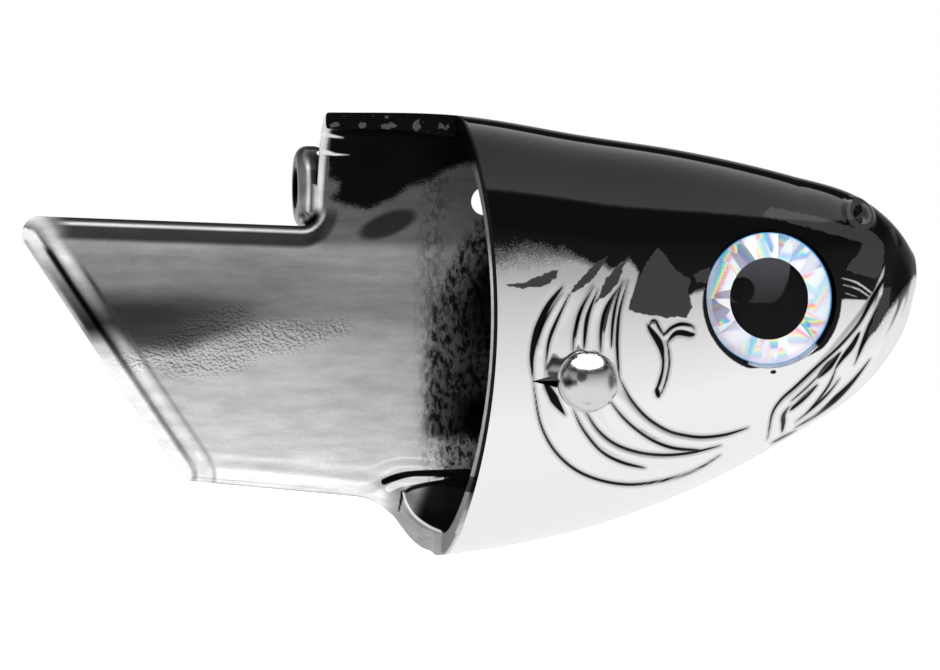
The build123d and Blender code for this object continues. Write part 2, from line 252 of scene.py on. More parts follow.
def bump(value, half):
    """Rounded bump of height 1 that ends at plus and minus half."""
    return np.clip(1 - (value / half) ** 2, 0, None) ** 1.5


class Head:
    """The head's smooth form, in millimetres: elliptical sections on curves along its length."""

    eye_tilt_degrees = 5.0

    def __init__(self):
        size = bpy.context.scene.bait_head_sizes
        for name in size.bl_rna.properties.keys():
            value = getattr(size, name)
            if isinstance(value, float):
                setattr(self, name, value / MM)
        self.rim_low_back = self.head_length + self.rim_rake
        self.collar_back = self.head_length + self.collar_length
        self.tail_top_back = self.collar_back + self.vane_length
        self.tail_low_back = self.tail_top_back - self.tail_rake
        self.root_back = self.rim_low_back + self.root_length
        self.pin_back = self.head_length - self.pin_to_rim
        self.line_hole_back = self.head_length - self.line_hole_to_rim
        rows = [(math.sqrt(back), *shares) for back, *shares in FRAMES]
        for back, shares in ((self.collar_back, COLLAR_FRAME), (self.tail_top_back + PAST_TAIL, TAIL_FRAME)):
            rows.append((math.sqrt(back / self.head_length), *shares))
        self.rows = np.array(rows)
        self.pin_skin = float(self.flank(self.pin_back, self.pin_height))
        self.ball_centre = self.pin_skin + self.ball_radius - self.ball_sink

    def share(self, back, column):
        """One share at distances behind the snout, on a cubic curve through the frames."""
        at, share = self.rows[:, 0], self.rows[:, column]
        last = len(at) - 1
        low, high = np.maximum(np.arange(last + 1) - 1, 0), np.minimum(np.arange(last + 1) + 1, last)
        slope = (share[high] - share[low]) / (at[high] - at[low])
        station = np.sqrt(np.maximum(back, 0) / self.head_length)
        i = np.clip(np.searchsorted(at, station, side="right") - 1, 0, last - 1)
        span = at[i + 1] - at[i]
        u = (station - at[i]) / span
        return ((1 + 2 * u) * (1 - u) ** 2 * share[i] + u * (1 - u) ** 2 * span * slope[i]
                + u * u * (3 - 2 * u) * share[i + 1] + u * u * (u - 1) * span * slope[i + 1])

    def section(self, back):
        """Middle height, half height and half width of the section."""
        fuller = self.snout_fullness * bump(back - 3.5, 8.0)
        crown = self.share(back, 1) * self.crown_height + fuller
        keel = -self.share(back, 2) * self.belly_depth - 0.8 * fuller
        width = self.share(back, 3) * self.half_width
        return (crown + keel) / 2, np.maximum((crown - keel) / 2, width * 1.001), width

    def flank(self, back, height):
        """Mid-plane to the skin."""
        middle, tall, width = self.section(back)
        return width * np.sqrt(np.maximum(0, 1 - ((height - middle) / tall) ** 2))

    def skin(self, back, turn, depth=0.0):
        """Places on the skin, or depth below it, at an angle round the section. Crown is a quarter turn up."""
        middle, tall, width = self.section(back)
        normal = np.stack([np.cos(turn) / width, np.sin(turn) / tall], -1)
        normal /= np.linalg.norm(normal, axis=-1, keepdims=True)
        y = width * np.cos(turn) - depth * normal[..., 0]
        z = middle + tall * np.sin(turn) - depth * normal[..., 1]
        return np.stack([-back + 0 * y, y, z], -1)

    def turn_at(self, back, height):
        """Angle round the section at a height."""
        middle, tall, _ = self.section(back)
        return np.arcsin(np.clip((height - middle) / tall, -1, 1))

    def rim_back(self, height):
        """Gill rim of the right shell: an arc through its crown, scoop and keel."""
        top, low = (self.head_length, self.crown_height), (self.rim_low_back - self.keel_step, -self.belly_depth)
        scoop = ((top[0] + low[0]) / 2 - self.rim_scoop, (top[1] + low[1]) / 2)
        (ax, ay), (bx, by), (cx, cy) = top, scoop, low
        d = 2 * (ax * (by - cy) + bx * (cy - ay) + cx * (ay - by))
        ux = ((ax**2 + ay**2) * (by - cy) + (bx**2 + by**2) * (cy - ay) + (cx**2 + cy**2) * (ay - by)) / d
        uy = ((ax**2 + ay**2) * (cx - bx) + (bx**2 + by**2) * (ax - cx) + (cx**2 + cy**2) * (bx - ax)) / d
        radius = math.hypot(ax - ux, ay - uy)
        return ux + math.copysign(1, ax - ux) * np.sqrt(np.maximum(0, radius**2 - (height - uy) ** 2))

    def eye_place(self, side):
        """Row-frame placement of one eye: local Z faces out of the foil, local Y is up."""
        tilt = math.radians(self.eye_tilt_degrees)
        depth = float(self.flank(self.eye_back, self.eye_height)) - self.eye_depth
        out = Vector((math.sin(tilt), side * math.cos(tilt), 0))
        up = Vector((0, 0, 1))
        across = up.cross(out)
        turn = Matrix((across, up, out)).transposed().to_4x4()
        return Matrix.Translation(Vector((-self.eye_back, side * depth, self.eye_height)) * MM) @ turn

    def relief(self, back, height):
        """How far the skin stands proud of the smooth form, and how far inside the edges of grooves and of the
        nostril's pit each place is, where the finish paints shade.
        """
        shape = back.shape
        back, height = back.ravel(), height.ravel()
        proud, deep = np.zeros_like(back), np.full_like(back, -1.0)

        def near(points, widths):
            """Places beside a line, how far off in half widths and how far along, half width, and fading ends."""
            line = curve(points)
            pick = boxed(line, max(widths) * 2.2 + 0.2, back, height)
            d, along = near_line(line, back[pick], height[pick])
            half = half_width(along, widths)
            return pick, d / half, along, half, ease(along, 0, 0.14) * (1 - ease(along, 0.84, 1))

        for points, widths, depth in TROUGHS:
            pick, off, _, _, ends = near(points, widths)
            proud[pick] -= depth * ends * np.exp(-1.6 * off**2)
        raised = np.zeros_like(back)
        for points, widths, tall in BEADS:
            pick, off, _, half, ends = near(points, widths)
            raised[pick] = np.maximum(raised[pick], tall * (half / max(widths)) * ends * bump(off, 1.35))
        proud += raised
        for points, widths, depth in GROOVES:
            pick, off, along, half, ends = near(points, widths)
            proud[pick] -= 0.3 * depth * ends * np.exp(-0.8 * off**2)
            taper = 0.75 * (4 * along * (1 - along)) ** 0.45
            deep[pick] = np.maximum(deep[pick], (taper - np.abs(off)) * half)
        away = from_nostril(back, height)
        proud += 0.28 * bump(away - 1.15, 0.65) - 0.45 * bump(away, 0.6)
        deep = np.maximum(deep, 0.4 - away)
        return proud.reshape(shape), deep.reshape(shape)


# ---- meshes ----

class Sheet:
    """Points, faces and the finish of each face, gathered for one mesh. Millimetres."""

    def __init__(self):
        self.points, self.faces, self.finish = [], [], []

    def add(self, points):
        """Adds a block of points and gives their numbers in the same arrangement."""
        points = np.asarray(points, float)
        start = sum(len(block) for block in self.points)
        self.points.append(points.reshape(-1, 3))
        return np.arange(start, start + points.size // 3).reshape(points.shape[:-1])

    def quads(self, numbers, finish):
        """Four-sided faces between neighbours in a grid of point numbers. A number below 0 is a gap."""
        a, b, c, d = numbers[:-1, :-1], numbers[:-1, 1:], numbers[1:, 1:], numbers[1:, :-1]
        found = np.stack([a, b, c, d], -1).reshape(-1, 4)
        found = found[(found >= 0).all(1)]
        self.faces += found.tolist()
        self.finish += [finish] * len(found)

    def face(self, numbers, finish):
        self.faces.append([int(n) for n in numbers])
        self.finish.append(finish)

    def build(self, name, materials=(), mirror=False):
        """The mesh object, in metres, with its normals facing out."""
        points = np.vstack(self.points) * MM
        if mirror:
            points = points * (1, -1, 1)
        mesh = bpy.data.meshes.new(name)
        mesh.from_pydata(points.tolist(), [], self.faces)
        mesh.polygons.foreach_set("material_index", self.finish)
        for material in materials:
            mesh.materials.append(material)
        work = bmesh.new()
        work.from_mesh(mesh)
        bmesh.ops.remove_doubles(work, verts=work.verts, dist=2e-7)
        bmesh.ops.recalc_face_normals(work, faces=work.faces)
        work.to_mesh(mesh)
        work.free()
        return place(name, mesh)


def place(name, data):
    """New object in the scene, which holds a mesh, a camera or a lamp."""
    thing = bpy.data.objects.new(name, data)
    bpy.context.scene.collection.objects.link(thing)
    return thing


def smooth_shade(thing):
    """Smooth faces, with sharp creases."""
    mesh = thing.data
    mesh.polygons.foreach_set("use_smooth", [True] * len(mesh.polygons))
    mesh.set_sharp_from_angle(angle=math.radians(CREASE_DEGREES))


def lathe(name, profile, placement=Matrix(), around=64, finish=INSIDE, closed=False):
    """Solid of revolution about local Z, from a profile of radius and height in millimetres."""
    sheet = Sheet()
    profile = np.asarray(profile, float)
    turn = np.linspace(0, math.tau, around, endpoint=False)
    ring = np.stack([np.cos(turn), np.sin(turn)], -1)
    middle = profile[:, 0] < 1e-6
    rows = []
    for (radius, height), point in zip(profile, middle):
        if point:
            rows.append(np.full(around + 1, sheet.add([[0, 0, height]])[0]))
        else:
            numbers = sheet.add(np.column_stack([ring * radius, np.full(around, height)]))
            rows.append(np.append(numbers, numbers[0]))
    if closed:
        rows, middle = [*rows, rows[0]], [*middle, middle[0]]
    for low, high, low_point, high_point in zip(rows, rows[1:], middle, middle[1:]):
        for k in range(around):
            corners = [low[k], low[k + 1], high[k + 1], high[k]]
            if low_point:
                corners = [low[k], high[k + 1], high[k]]
            if high_point:
                corners = [low[k], low[k + 1], high[k]]
            sheet.face(corners, finish)
    thing = sheet.build(name)
    thing.data.transform(placement)
    return thing


def arc(centre, radius, start, end, count):
    """Points of radius and height on an arc, angles in degrees."""
    angle = np.radians(np.linspace(start, end, count))
    return np.column_stack([centre[0] + radius * np.cos(angle), centre[1] + radius * np.sin(angle)])


def carve(thing, tool, operation="DIFFERENCE"):
    """Cuts or joins with a closed tool, and removes the tool."""
    for solver in ("MANIFOLD", "EXACT"):
        change = thing.modifiers.new("carve", "BOOLEAN")
        change.operation, change.solver, change.object = operation, solver, tool
        graph = bpy.context.evaluated_depsgraph_get()
        graph.update()
        made = bpy.data.meshes.new_from_object(thing.evaluated_get(graph))
        thing.modifiers.remove(change)
        if len(made.polygons) > LEAST_FACES and len(made.polygons) != len(thing.data.polygons):
            break
    else:
        raise RuntimeError(f"{tool.name} left {thing.name} unchanged")
    old = thing.data
    thing.data = made
    bpy.data.meshes.remove(old)
    bpy.data.objects.remove(tool)


def sideways(back, height, side):
    """Placement on the mid-plane whose local Z points out of one flank."""
    turn = Matrix(((1, 0, 0), (0, 0, side), (0, -side, 0))).to_4x4()
    return Matrix.Translation(Vector((-back, 0, height)) * MM) @ turn


def crowded(low, high, count, density):
    """Values from low to high, closer together where density is high."""
    fine = np.linspace(low, high, 4000)
    total = running_total((density(fine)[1:] + density(fine)[:-1]) / 2)
    return np.interp(np.linspace(0, total[-1], count), total, fine)


def even_turns(head, count):
    """Angles from crown to keel, close together over the relief, with close rows at the mid-plane."""
    middle, tall, width = head.section(head.head_length)

    def density(turn):
        height = middle - tall * np.sin(turn)
        pace = np.hypot(tall * np.cos(turn), width * np.sin(turn))
        return pace * (1 + 2.6 * ease(height, -23, -20.5) * (1 - ease(height, 1, 3)))

    even = -crowded(-math.pi / 2, math.pi / 2, count, density)
    close = math.pi / 2 - np.array(SEAM_ROWS) / width
    return np.concatenate([[math.pi / 2], close, even[1:-1], -close[::-1], [-math.pi / 2]])


def skin_normals(grid):
    """Outward unit normals of a grid of places, rows from crown to keel and columns from snout to tail."""
    down, along = np.gradient(grid, axis=0), np.gradient(grid, axis=1)
    normal = np.cross(down, along)
    size = np.linalg.norm(normal, axis=-1, keepdims=True)
    normal = normal / np.maximum(size, 1e-9)
    flip = np.sign((normal * (grid - np.array([-20.0, 0, -5.0]))).sum(-1, keepdims=True).mean())
    return normal * flip


def nose_inside(head, turns, backs):
    """Inner surface of the head: the leader tube's seat, the rounded front of the cavity, then the cavity."""
    seat = head.tube_radius + head.tube_seat_gap
    ring = np.stack([0 * turns, seat * np.cos(turns), seat * np.sin(turns)], -1)
    columns = [ring - np.array([back, 0, 0]) for back in (0, 2, 4, 6, head.cavity_back)]
    front = head.skin(np.full_like(turns, head.cavity_back), turns, head.wall + head.cavity_nose_taper)
    columns += [columns[-1] + (front - columns[-1]) * share for share in (0.25, 0.5, 0.75, 0.93)]
    for back in backs:
        depth = head.wall + head.cavity_nose_taper * (1 - ease(back, head.cavity_back, head.cavity_back + 6))
        columns.append(head.skin(np.full_like(turns, back), turns, depth))
    return np.stack(columns, 1)


def eye_cup(head, inner):
    """Thickens the wall behind the eye socket: the inner surface keeps its floor there."""
    tilt = math.radians(head.eye_tilt_degrees)
    depth = float(head.flank(head.eye_back, head.eye_height))
    depth = depth - head.eye_depth - head.pad_thickness - head.socket_floor
    along = -inner[..., 0] - head.eye_back
    radius = np.hypot(along, inner[..., 2] - head.eye_height)
    floor = depth + along * math.tan(tilt)
    cup = head.eye_radius + head.socket_gap + head.wall
    share = 1 - ease(radius, cup - 0.4, cup + 0.6)
    inner[..., 1] = np.where(inner[..., 1] > floor, inner[..., 1] + (floor - inner[..., 1]) * share, inner[..., 1])
    return inner


def bridge(sheet, outer, inner, outer_points, inner_points, inward, bulge):
    """Rounded rim between two matching edges. inward is a step from the edge into the skin."""
    tangent = np.gradient(outer_points, axis=0)
    across = inner_points - outer_points
    out = np.cross(tangent, across)
    out /= np.maximum(np.linalg.norm(out, axis=-1, keepdims=True), 1e-9)
    out *= -np.sign((out * inward).sum(-1, keepdims=True))
    turn = np.linspace(0, math.pi, RIM_STEPS + 1)[1:-1]
    share = (1 - np.sign(np.cos(turn)) * np.abs(np.cos(turn)) ** 0.6) / 2
    proud = np.abs(np.sin(turn)) ** 0.7 * bulge
    middle = outer_points[:, None] + across[:, None] * share[None, :, None] + out[:, None] * proud[None, :, None]
    on_seam = np.abs(outer_points[:, 1]) < 1e-6
    middle[on_seam, :, 1] = 0
    numbers = np.column_stack([outer, sheet.add(middle), inner])
    sheet.quads(numbers, INSIDE)
    return numbers


def right_shell_mesh(head, materials):
    """Right cheek up to the gill rim, as a closed mesh. Built on the left and mirrored."""
    straight = 36.0      # inner columns lie square to the leader up to here, and follow the rim behind it
    turns = even_turns(head, 260)
    share = crowded(0, 1, 304, lambda share: 0.8 + 0.22 / np.sqrt(share + 0.004))
    rim = np.full_like(turns, head.head_length)
    for _ in range(6):
        rim = head.rim_back(head.skin(rim, turns)[:, 2]) - head.rim_rounding
    backs = rim[:, None] * share[None]
    angle = np.broadcast_to(turns[:, None], backs.shape)
    outer = head.skin(backs, angle)
    outer = outer + dress(head, outer)
    sheet = Sheet()
    out_numbers = sheet.add(outer)
    sheet.quads(out_numbers, OUTSIDE)
    inside = nose_inside(head, turns, np.linspace(head.cavity_back, straight, 26))
    far = straight + (rim[:, None] - straight) * np.linspace(0, 1, 7)[None, 1:]
    rear = head.skin(far, np.broadcast_to(turns[:, None], far.shape), head.wall)
    inside = eye_cup(head, np.concatenate([inside, rear], 1))
    in_numbers = sheet.add(inside)
    sheet.quads(in_numbers, INSIDE)
    rim_numbers = bridge(sheet, out_numbers[:, -1], in_numbers[:, -1], outer[:, -1], inside[:, -1],
                         outer[:, -2] - outer[:, -1], head.rim_rounding)
    sheet.quads(np.column_stack([in_numbers[:, 0], out_numbers[:, 0]]), OUTSIDE)
    for row in (0, -1):
        sheet.face([*out_numbers[row], *rim_numbers[row, 1:-1], *in_numbers[row, ::-1]], SEAM)
    return sheet.build("right_shell_skin", materials, mirror=True)


def dress(head, outer):
    """Relief as moves of the skin along its normals, with a fine moulding seam at the mid-plane."""
    back, height = -outer[..., 0], outer[..., 2]
    proud, _ = head.relief(back, height)
    fade = ease(outer[..., 1], 0.4, 1.6)
    proud = proud * fade - 0.05 * np.exp(-(outer[..., 1] / 0.1) ** 2)
    return skin_normals(outer) * proud[..., None]


def offset_corners(corners, inset):
    """Corner points of a side-view path moved into the material, which lies on the right of each run."""
    corners = np.array(corners, float)
    run = np.diff(corners, axis=0)
    run /= np.linalg.norm(run, axis=1)[:, None]
    inward = np.column_stack([run[:, 1], -run[:, 0]]) * inset
    moved = [corners[0] + inward[0]]
    for k in range(1, len(corners) - 1):
        a, b = corners[k] + inward[k - 1], corners[k] + inward[k]
        t = np.linalg.solve(np.column_stack([run[k - 1], -run[k]]), b - a)[0]
        moved.append(a + t * run[k - 1])
    moved.append(corners[-1] + inward[-1])
    return np.array(moved)


def rounded_runs(corners, radii):
    """Runs of a path with rounded corners, each from the middle of one corner's arc to the middle of the next."""
    runs, points = [], [corners[0]]
    for before, at, after, radius in zip(corners, corners[1:], corners[2:], radii):
        a, b = (before - at) / np.linalg.norm(before - at), (after - at) / np.linalg.norm(after - at)
        half = math.acos(np.clip(a @ b, -1, 1)) / 2
        middle = (a + b) / np.linalg.norm(a + b)
        centre = at + middle * radius / math.sin(half)
        first, last = at + a * radius / math.tan(half) - centre, at + b * radius / math.tan(half) - centre
        share = np.linspace(0, 1, 2 * ARC_STEPS + 1)[:, None]
        arc_points = first * (1 - share) + last * share
        arc_points = centre + arc_points * radius / np.linalg.norm(arc_points, axis=1)[:, None]
        points += list(arc_points[:ARC_STEPS + 1])
        runs.append(np.array(points))
        points = list(arc_points[ARC_STEPS:])
    points.append(corners[-1])
    return [*runs, np.array(points)]


def rear_runs(head, inset):
    """Rear edge of the left shell in side view: collar, vane top, tail, lower edge down to the keel."""
    corners = offset_corners((
        (head.collar_back, 40.0), (head.collar_back, head.vane_top),
        (head.tail_top_back, head.vane_top + head.vane_rise), (head.tail_low_back, head.vane_low),
        (head.root_back, head.vane_low - head.root_drop), (head.rim_low_back, -head.belly_depth),
        (head.rim_low_back, -40.0)), inset)
    radii = (head.step_radius + inset, head.corner_radius - inset, head.corner_radius - inset,
             head.root_radius, head.corner_radius)
    collar, top, tail, low, root, end = rounded_runs(corners, radii)
    low = np.vstack([low, root[1:], end[1:]])
    length = path_length(low)
    low = np.column_stack([np.interp(np.linspace(0, length[-1], 400), length, low[:, k]) for k in (0, 1)])
    low[:, 1] -= head.keel_bulge * bump(low[:, 0] - head.rim_low_back - 1.1, 1.7)
    keel = low[:, 1] - np.subtract(*head.section(low[:, 0])[:2])
    k = np.flatnonzero(keel < 0)[0]
    t = keel[k - 1] / (keel[k - 1] - keel[k])
    return collar, top, tail, np.vstack([low[:k], low[k - 1] + t * (low[k] - low[k - 1])])


def spaced(path, share):
    """Points on a path at shares of its length."""
    length = path_length(path)
    return np.column_stack([np.interp(np.asarray(share) * length[-1], length, path[:, k]) for k in (0, 1)])


def wall_under(head, back, turn, depth):
    """Inner surface behind the skin: square to it in the head, and straight across to the mid-plane in the vane."""
    square = head.skin(back, turn, depth)
    middle, tall, width = head.section(back)
    height = middle + tall * np.sin(turn)
    y = (width - depth) * np.sqrt(np.maximum(0.0, 1 - ((height - middle) / (tall - depth)) ** 2))
    across = np.stack([-back, y, height], -1)
    share = (ease(back, 46.5, 51.0) * (1 - ease(height, 5.0, 8.0)))[..., None]
    return square * (1 - share) + across * share


def wall_depth(head, back, height):
    """Wall of collar and vane: a border round the vane's recessed panel, a bead along the tail, and a ledge."""
    shape = back.shape
    back, height = back.ravel(), height.ravel()
    _, top, tail, low = rear_runs(head, 0.0)
    far_top, far_tail, far_low = (np.abs(near_line(path, back, height)[0]) for path in (
        top[ARC_STEPS:-ARC_STEPS], tail[ARC_STEPS:-ARC_STEPS], low[ARC_STEPS:]))
    border = np.maximum.reduce([
        1 - ease(far_top, 1.1, 2.2), 1 - ease(far_low, 1.0, 3.0), 1 - ease(far_tail, 1.25, 1.5)])
    reach = ease(back, 43.5, 50.0)
    depth = head.wall - head.panel_recess * (1 - border) * reach
    along_tail = ease(far_top, 1.0, 2.0) * ease(far_low, 1.0, 2.2)
    depth += along_tail * (0.46 * bump(far_tail - 2.4, 0.9) - 0.14 * bump(far_tail - 1.45, 0.22))
    ledge = curve(KEEL_LEDGE)
    pick = np.flatnonzero((back < 54) & (back > 29) & (height < -16) & (height > -24))
    d, along = near_line(ledge, back[pick], height[pick])
    depth[pick] += 0.6 * bump(d, 1.1) * ease(along, 0.0, 0.14) * (1 - ease(along, 0.75, 1.0))
    return depth.reshape(shape)


def left_shell_mesh(head, materials):
    """Left cheek with the collar and the tail vane, as a closed mesh."""
    head_end, bend_start = 40.0, 50.0      # back of the head's columns, and where columns begin to follow the collar
    upper_rows, lower_rows, head_columns, collar_columns, vane_columns = 46, 142, 158, 60, 84
    rim = head.rim_rounding
    collar, top, tail, low = rear_runs(head, rim)
    step_back, step_height = top[0]
    keel_back = low[-1, 0]
    edge = head.collar_back - rim
    # rows: angles round the section, close together at the vane's upper and lower edges
    turn_step = float(head.turn_at(step_back, step_height))
    _, tall, width = head.section(head.head_length)
    fine = np.linspace(math.pi / 2, -math.pi / 2, 2000)
    pace = np.hypot(tall * np.cos(fine), width * np.sin(fine))
    length = running_total((pace[1:] + pace[:-1]) / 2)
    at_step = np.interp(-turn_step, -fine, length)
    upper = np.interp(np.linspace(0, at_step, upper_rows), length, fine)
    u = np.linspace(0, 1, lower_rows)
    u = u - 0.5 * np.sin(math.tau * u) / math.tau
    lower = np.interp(at_step + (length[-1] - at_step) * u, length, fine)
    seam = math.pi / 2 - np.array(SEAM_ROWS) / width
    turns = np.concatenate([upper[:1], seam, upper[1:-1], [turn_step], lower[1:-1], -seam[::-1], [-math.pi / 2]])
    step_row = int(np.flatnonzero(turns == turn_step)[0])
    rows = len(turns)

    def low_height(back):
        return np.interp(back, low[::-1, 0], low[::-1, 1])

    def bent(back):
        """Angles of every row at one distance back, where the lower rows follow the lower edge."""
        end = -math.pi / 2 if back <= keel_back + 1e-6 else float(head.turn_at(back, low_height(back)))
        share = (end - turn_step) / (-math.pi / 2 - turn_step)
        return np.where(turns < turn_step, turn_step + (turns - turn_step) * share, turns)

    head_backs = head_end * np.linspace(0, 1, head_columns) ** 1.22
    to_keel = np.linspace(head_end, keel_back, 26)[1:]
    to_edge = keel_back + (edge - keel_back) * np.linspace(0, 1, collar_columns)[1:] ** 1.8
    backs = np.concatenate([head_backs, to_keel, to_edge])
    keel_column, edge_column = len(head_backs) + len(to_keel) - 1, len(backs) - 1
    angle = np.stack([bent(back) for back in backs], 1)
    back = np.broadcast_to(backs, angle.shape).copy()
    # the collar's rear edge curves into the vane's upper edge
    heights = head.skin(np.full(rows, edge), angle[:, -1])[:, 2]
    curved = np.interp(heights, collar[::-1, 1], collar[::-1, 0])
    below = np.arange(rows) - step_row
    curved = np.where(below > 0, edge + (step_back - edge) * np.exp(-below / 6.0), curved)
    stretched = bend_start + (back - bend_start) * ((curved[:, None] - bend_start) / (edge - bend_start))
    back = np.where(back > bend_start, stretched, back)
    front = head.skin(back, angle)

    # vane, between its start at the collar, its upper edge, the tail and its lower edge
    start = np.column_stack([curved[step_row:], front[step_row:, -1, 2]])
    q = (start[0, 1] - start[:, 1]) / (start[0, 1] - start[-1, 1])
    u = np.linspace(0, 1, vane_columns)
    s = u + 0.6 * np.sin(math.pi * u) / math.pi
    low_start = np.flatnonzero(low[:, 0] < edge)[0]
    low_run = np.vstack([low[:low_start], [edge, low_height(edge)]])[::-1]
    upper_edge, lower_edge, tail_edge = spaced(top, s), spaced(low_run, s), spaced(tail, q)
    q_, s_ = q[:, None, None], s[None, :, None]
    vane = ((1 - q_) * upper_edge[None] + q_ * lower_edge[None] + (1 - s_) * start[:, None] + s_ * tail_edge[:, None]
            - (1 - s_) * (1 - q_) * upper_edge[0] - s_ * (1 - q_) * upper_edge[-1]
            - (1 - s_) * q_ * lower_edge[0] - s_ * q_ * lower_edge[-1])[:, 1:]
    vane_turn = head.turn_at(vane[..., 0], vane[..., 1])

    # outer skin: rows above the step end at the collar, so the vane's columns are gaps there
    outer = front + dress(head, front) * (1 - ease(-front[..., 0:1], 38.0, 41.0))
    sheet = Sheet()
    out_numbers = np.full((rows, len(backs) + vane.shape[1]), -1)
    out_numbers[:, :len(backs)] = sheet.add(outer)
    vane_outer = head.skin(vane[..., 0], vane_turn)
    out_numbers[step_row:, len(backs):] = sheet.add(vane_outer)
    sheet.quads(out_numbers, OUTSIDE)

    # inner surface
    inside = eye_cup(head, nose_inside(head, turns, np.linspace(head.cavity_back, head_end - 0.8, 27)))
    matched = np.arange(len(backs)) >= len(head_backs) - 1
    rear_depth = wall_depth(head, back[:, matched], front[:, matched, 2])
    rear = wall_under(head, back[:, matched], angle[:, matched], rear_depth)
    vane_inner = wall_under(head, vane[..., 0], vane_turn, wall_depth(head, vane[..., 0], vane[..., 1]))
    in_numbers = np.full((rows, inside.shape[1] + rear.shape[1] + vane.shape[1]), -1)
    in_numbers[:, :inside.shape[1] + rear.shape[1]] = sheet.add(np.concatenate([inside, rear], 1))
    in_numbers[step_row:, inside.shape[1] + rear.shape[1]:] = sheet.add(vane_inner)
    sheet.quads(in_numbers, INSIDE)
    sheet.quads(np.column_stack([in_numbers[:, 0], out_numbers[:, 0]]), OUTSIDE)

    # rounded rim: along the lower edge, up the tail, along the vane's upper edge and up the collar, as row and
    # column of each point and the steps in row and column that lead to it from inside the skin
    total = out_numbers.shape[1]
    path = [(rows - 1, c, 1, 0) for c in range(keel_column, total - 1)]
    path += [(r, total - 1, 0, 1) for r in range(rows - 1, step_row, -1)]
    path += [(step_row, c, -1, 0) for c in range(total - 1, edge_column, -1)]
    path += [(r, edge_column, 0, 1) for r in range(step_row, -1, -1)]
    points = np.vstack(sheet.points)
    shift = in_numbers.shape[1] - total
    row, column, up, fore = np.array(path).T
    at, under = out_numbers[row, column], in_numbers[row, column + shift]
    inward = points[out_numbers[row - up, column - fore]] - points[at]
    ring = bridge(sheet, at, under, points[at], points[under], inward, rim)
    sheet.face([*out_numbers[-1, :keel_column + 1], *ring[0, 1:-1], *in_numbers[-1, keel_column + shift::-1]], SEAM)
    sheet.face([*out_numbers[0, :edge_column + 1], *ring[-1, 1:-1], *in_numbers[0, edge_column + shift::-1]], SEAM)
    return sheet.build("left_shell_skin", materials)


# ---- node shorthand ----

def arithmetic(operation, swapped=False):
    """A Wire's operator, which adds a math node."""
    def join(self, other):
        return self.nodes.math(operation, *((other, self) if swapped else (self, other)))
    return join


class Wire:
    """A value in a node tree, for arithmetic with other values."""

    def __init__(self, nodes, socket):
        self.nodes, self.socket = nodes, socket

    __add__, __radd__ = arithmetic("ADD"), arithmetic("ADD", swapped=True)
    __sub__, __rsub__ = arithmetic("SUBTRACT"), arithmetic("SUBTRACT", swapped=True)
    __mul__, __truediv__, __pow__ = arithmetic("MULTIPLY"), arithmetic("DIVIDE"), arithmetic("POWER")


class Nodes:
    """Builds one node tree. Inputs are wires, sockets or plain values."""

    def __init__(self, tree):
        self.tree = tree

    def add(self, kind, inputs=(), **settings):
        node = self.tree.nodes.new(kind)
        for name, value in settings.items():
            setattr(node, name, value)
        self.fill(node, dict(inputs))
        return node

    def fill(self, node, inputs):
        """Sets a node's inputs by name or number."""
        for name, value in inputs.items():
            if isinstance(value, Wire):
                value = value.socket
            if isinstance(value, bpy.types.NodeSocket):
                self.tree.links.new(value, node.inputs[name])
            else:
                node.inputs[name].default_value = value

    def take(self, kind, output=0, inputs=(), **settings):
        """Adds a node and gives one of its outputs."""
        return Wire(self, self.add(kind, inputs, **settings).outputs[output])

    def math(self, operation, *values, clamp=False):
        return self.take("ShaderNodeMath", 0, enumerate(values), operation=operation, use_clamp=clamp)

    def mix(self, share, low, high, blend="MIX"):
        return self.take("ShaderNodeMix", 2, {0: share, 6: low, 7: high}, data_type="RGBA", blend_type=blend)

    def blend(self, share, low, high):
        return self.take("ShaderNodeMix", 0, {0: share, 2: low, 3: high}, data_type="FLOAT")

    def scale(self, vector, amount):
        return self.take("ShaderNodeVectorMath", 0, {0: vector, "Scale": amount}, operation="SCALE")

    def ease(self, value, low, high, to_low=0.0, to_high=1.0):
        return self.take("ShaderNodeMapRange", 0, {
            "Value": value, "From Min": low, "From Max": high, "To Min": to_low, "To Max": to_high},
            interpolation_type="SMOOTHSTEP")

    def ramp(self, share, stops):
        node = self.add("ShaderNodeValToRGB", {0: share})
        elements = node.color_ramp.elements
        for element, (at, colour) in zip(list(elements), (stops[0], stops[-1])):
            element.position, element.color = at, (*colour, 1)
        for at, colour in stops[1:-1]:
            elements.new(at).color = (*colour, 1)
        return Wire(self, node.outputs[0])

    def split(self, value, kind="ShaderNodeSeparateXYZ"):
        """The three parts of a vector or a colour."""
        return [Wire(self, socket) for socket in self.add(kind, {0: value}).outputs]

    def place(self, kind="Object"):
        return self.take("ShaderNodeTexCoord", kind)

    def mapped(self, place, scale, turn=(0, 0, 0)):
        return self.take("ShaderNodeMapping", 0, {0: place, "Scale": scale, "Rotation": turn})

    def mark(self, name):
        """A value stored on the mesh's points."""
        return self.take("ShaderNodeAttribute", "Fac", attribute_name=name)

    def noise(self, place, scale, detail=2.0, roughness=0.5, distortion=0.0):
        return self.take("ShaderNodeTexNoise", "Fac", {
            "Vector": place, "Scale": scale, "Detail": detail, "Roughness": roughness, "Distortion": distortion})

    def grey(self, level):
        return self.take("ShaderNodeCombineColor", 0, {0: level, 1: level, 2: level})

    def lift(self, height, strength, distance):
        """Normals of a bumpy surface."""
        return self.take("ShaderNodeBump", 0, {"Height": height, "Strength": strength, "Distance": distance})

    def use(self, name, **inputs):
        """The output of a node group, with its own values."""
        return self.take("ShaderNodeGroup", 0, inputs, node_tree=bpy.data.node_groups[name])


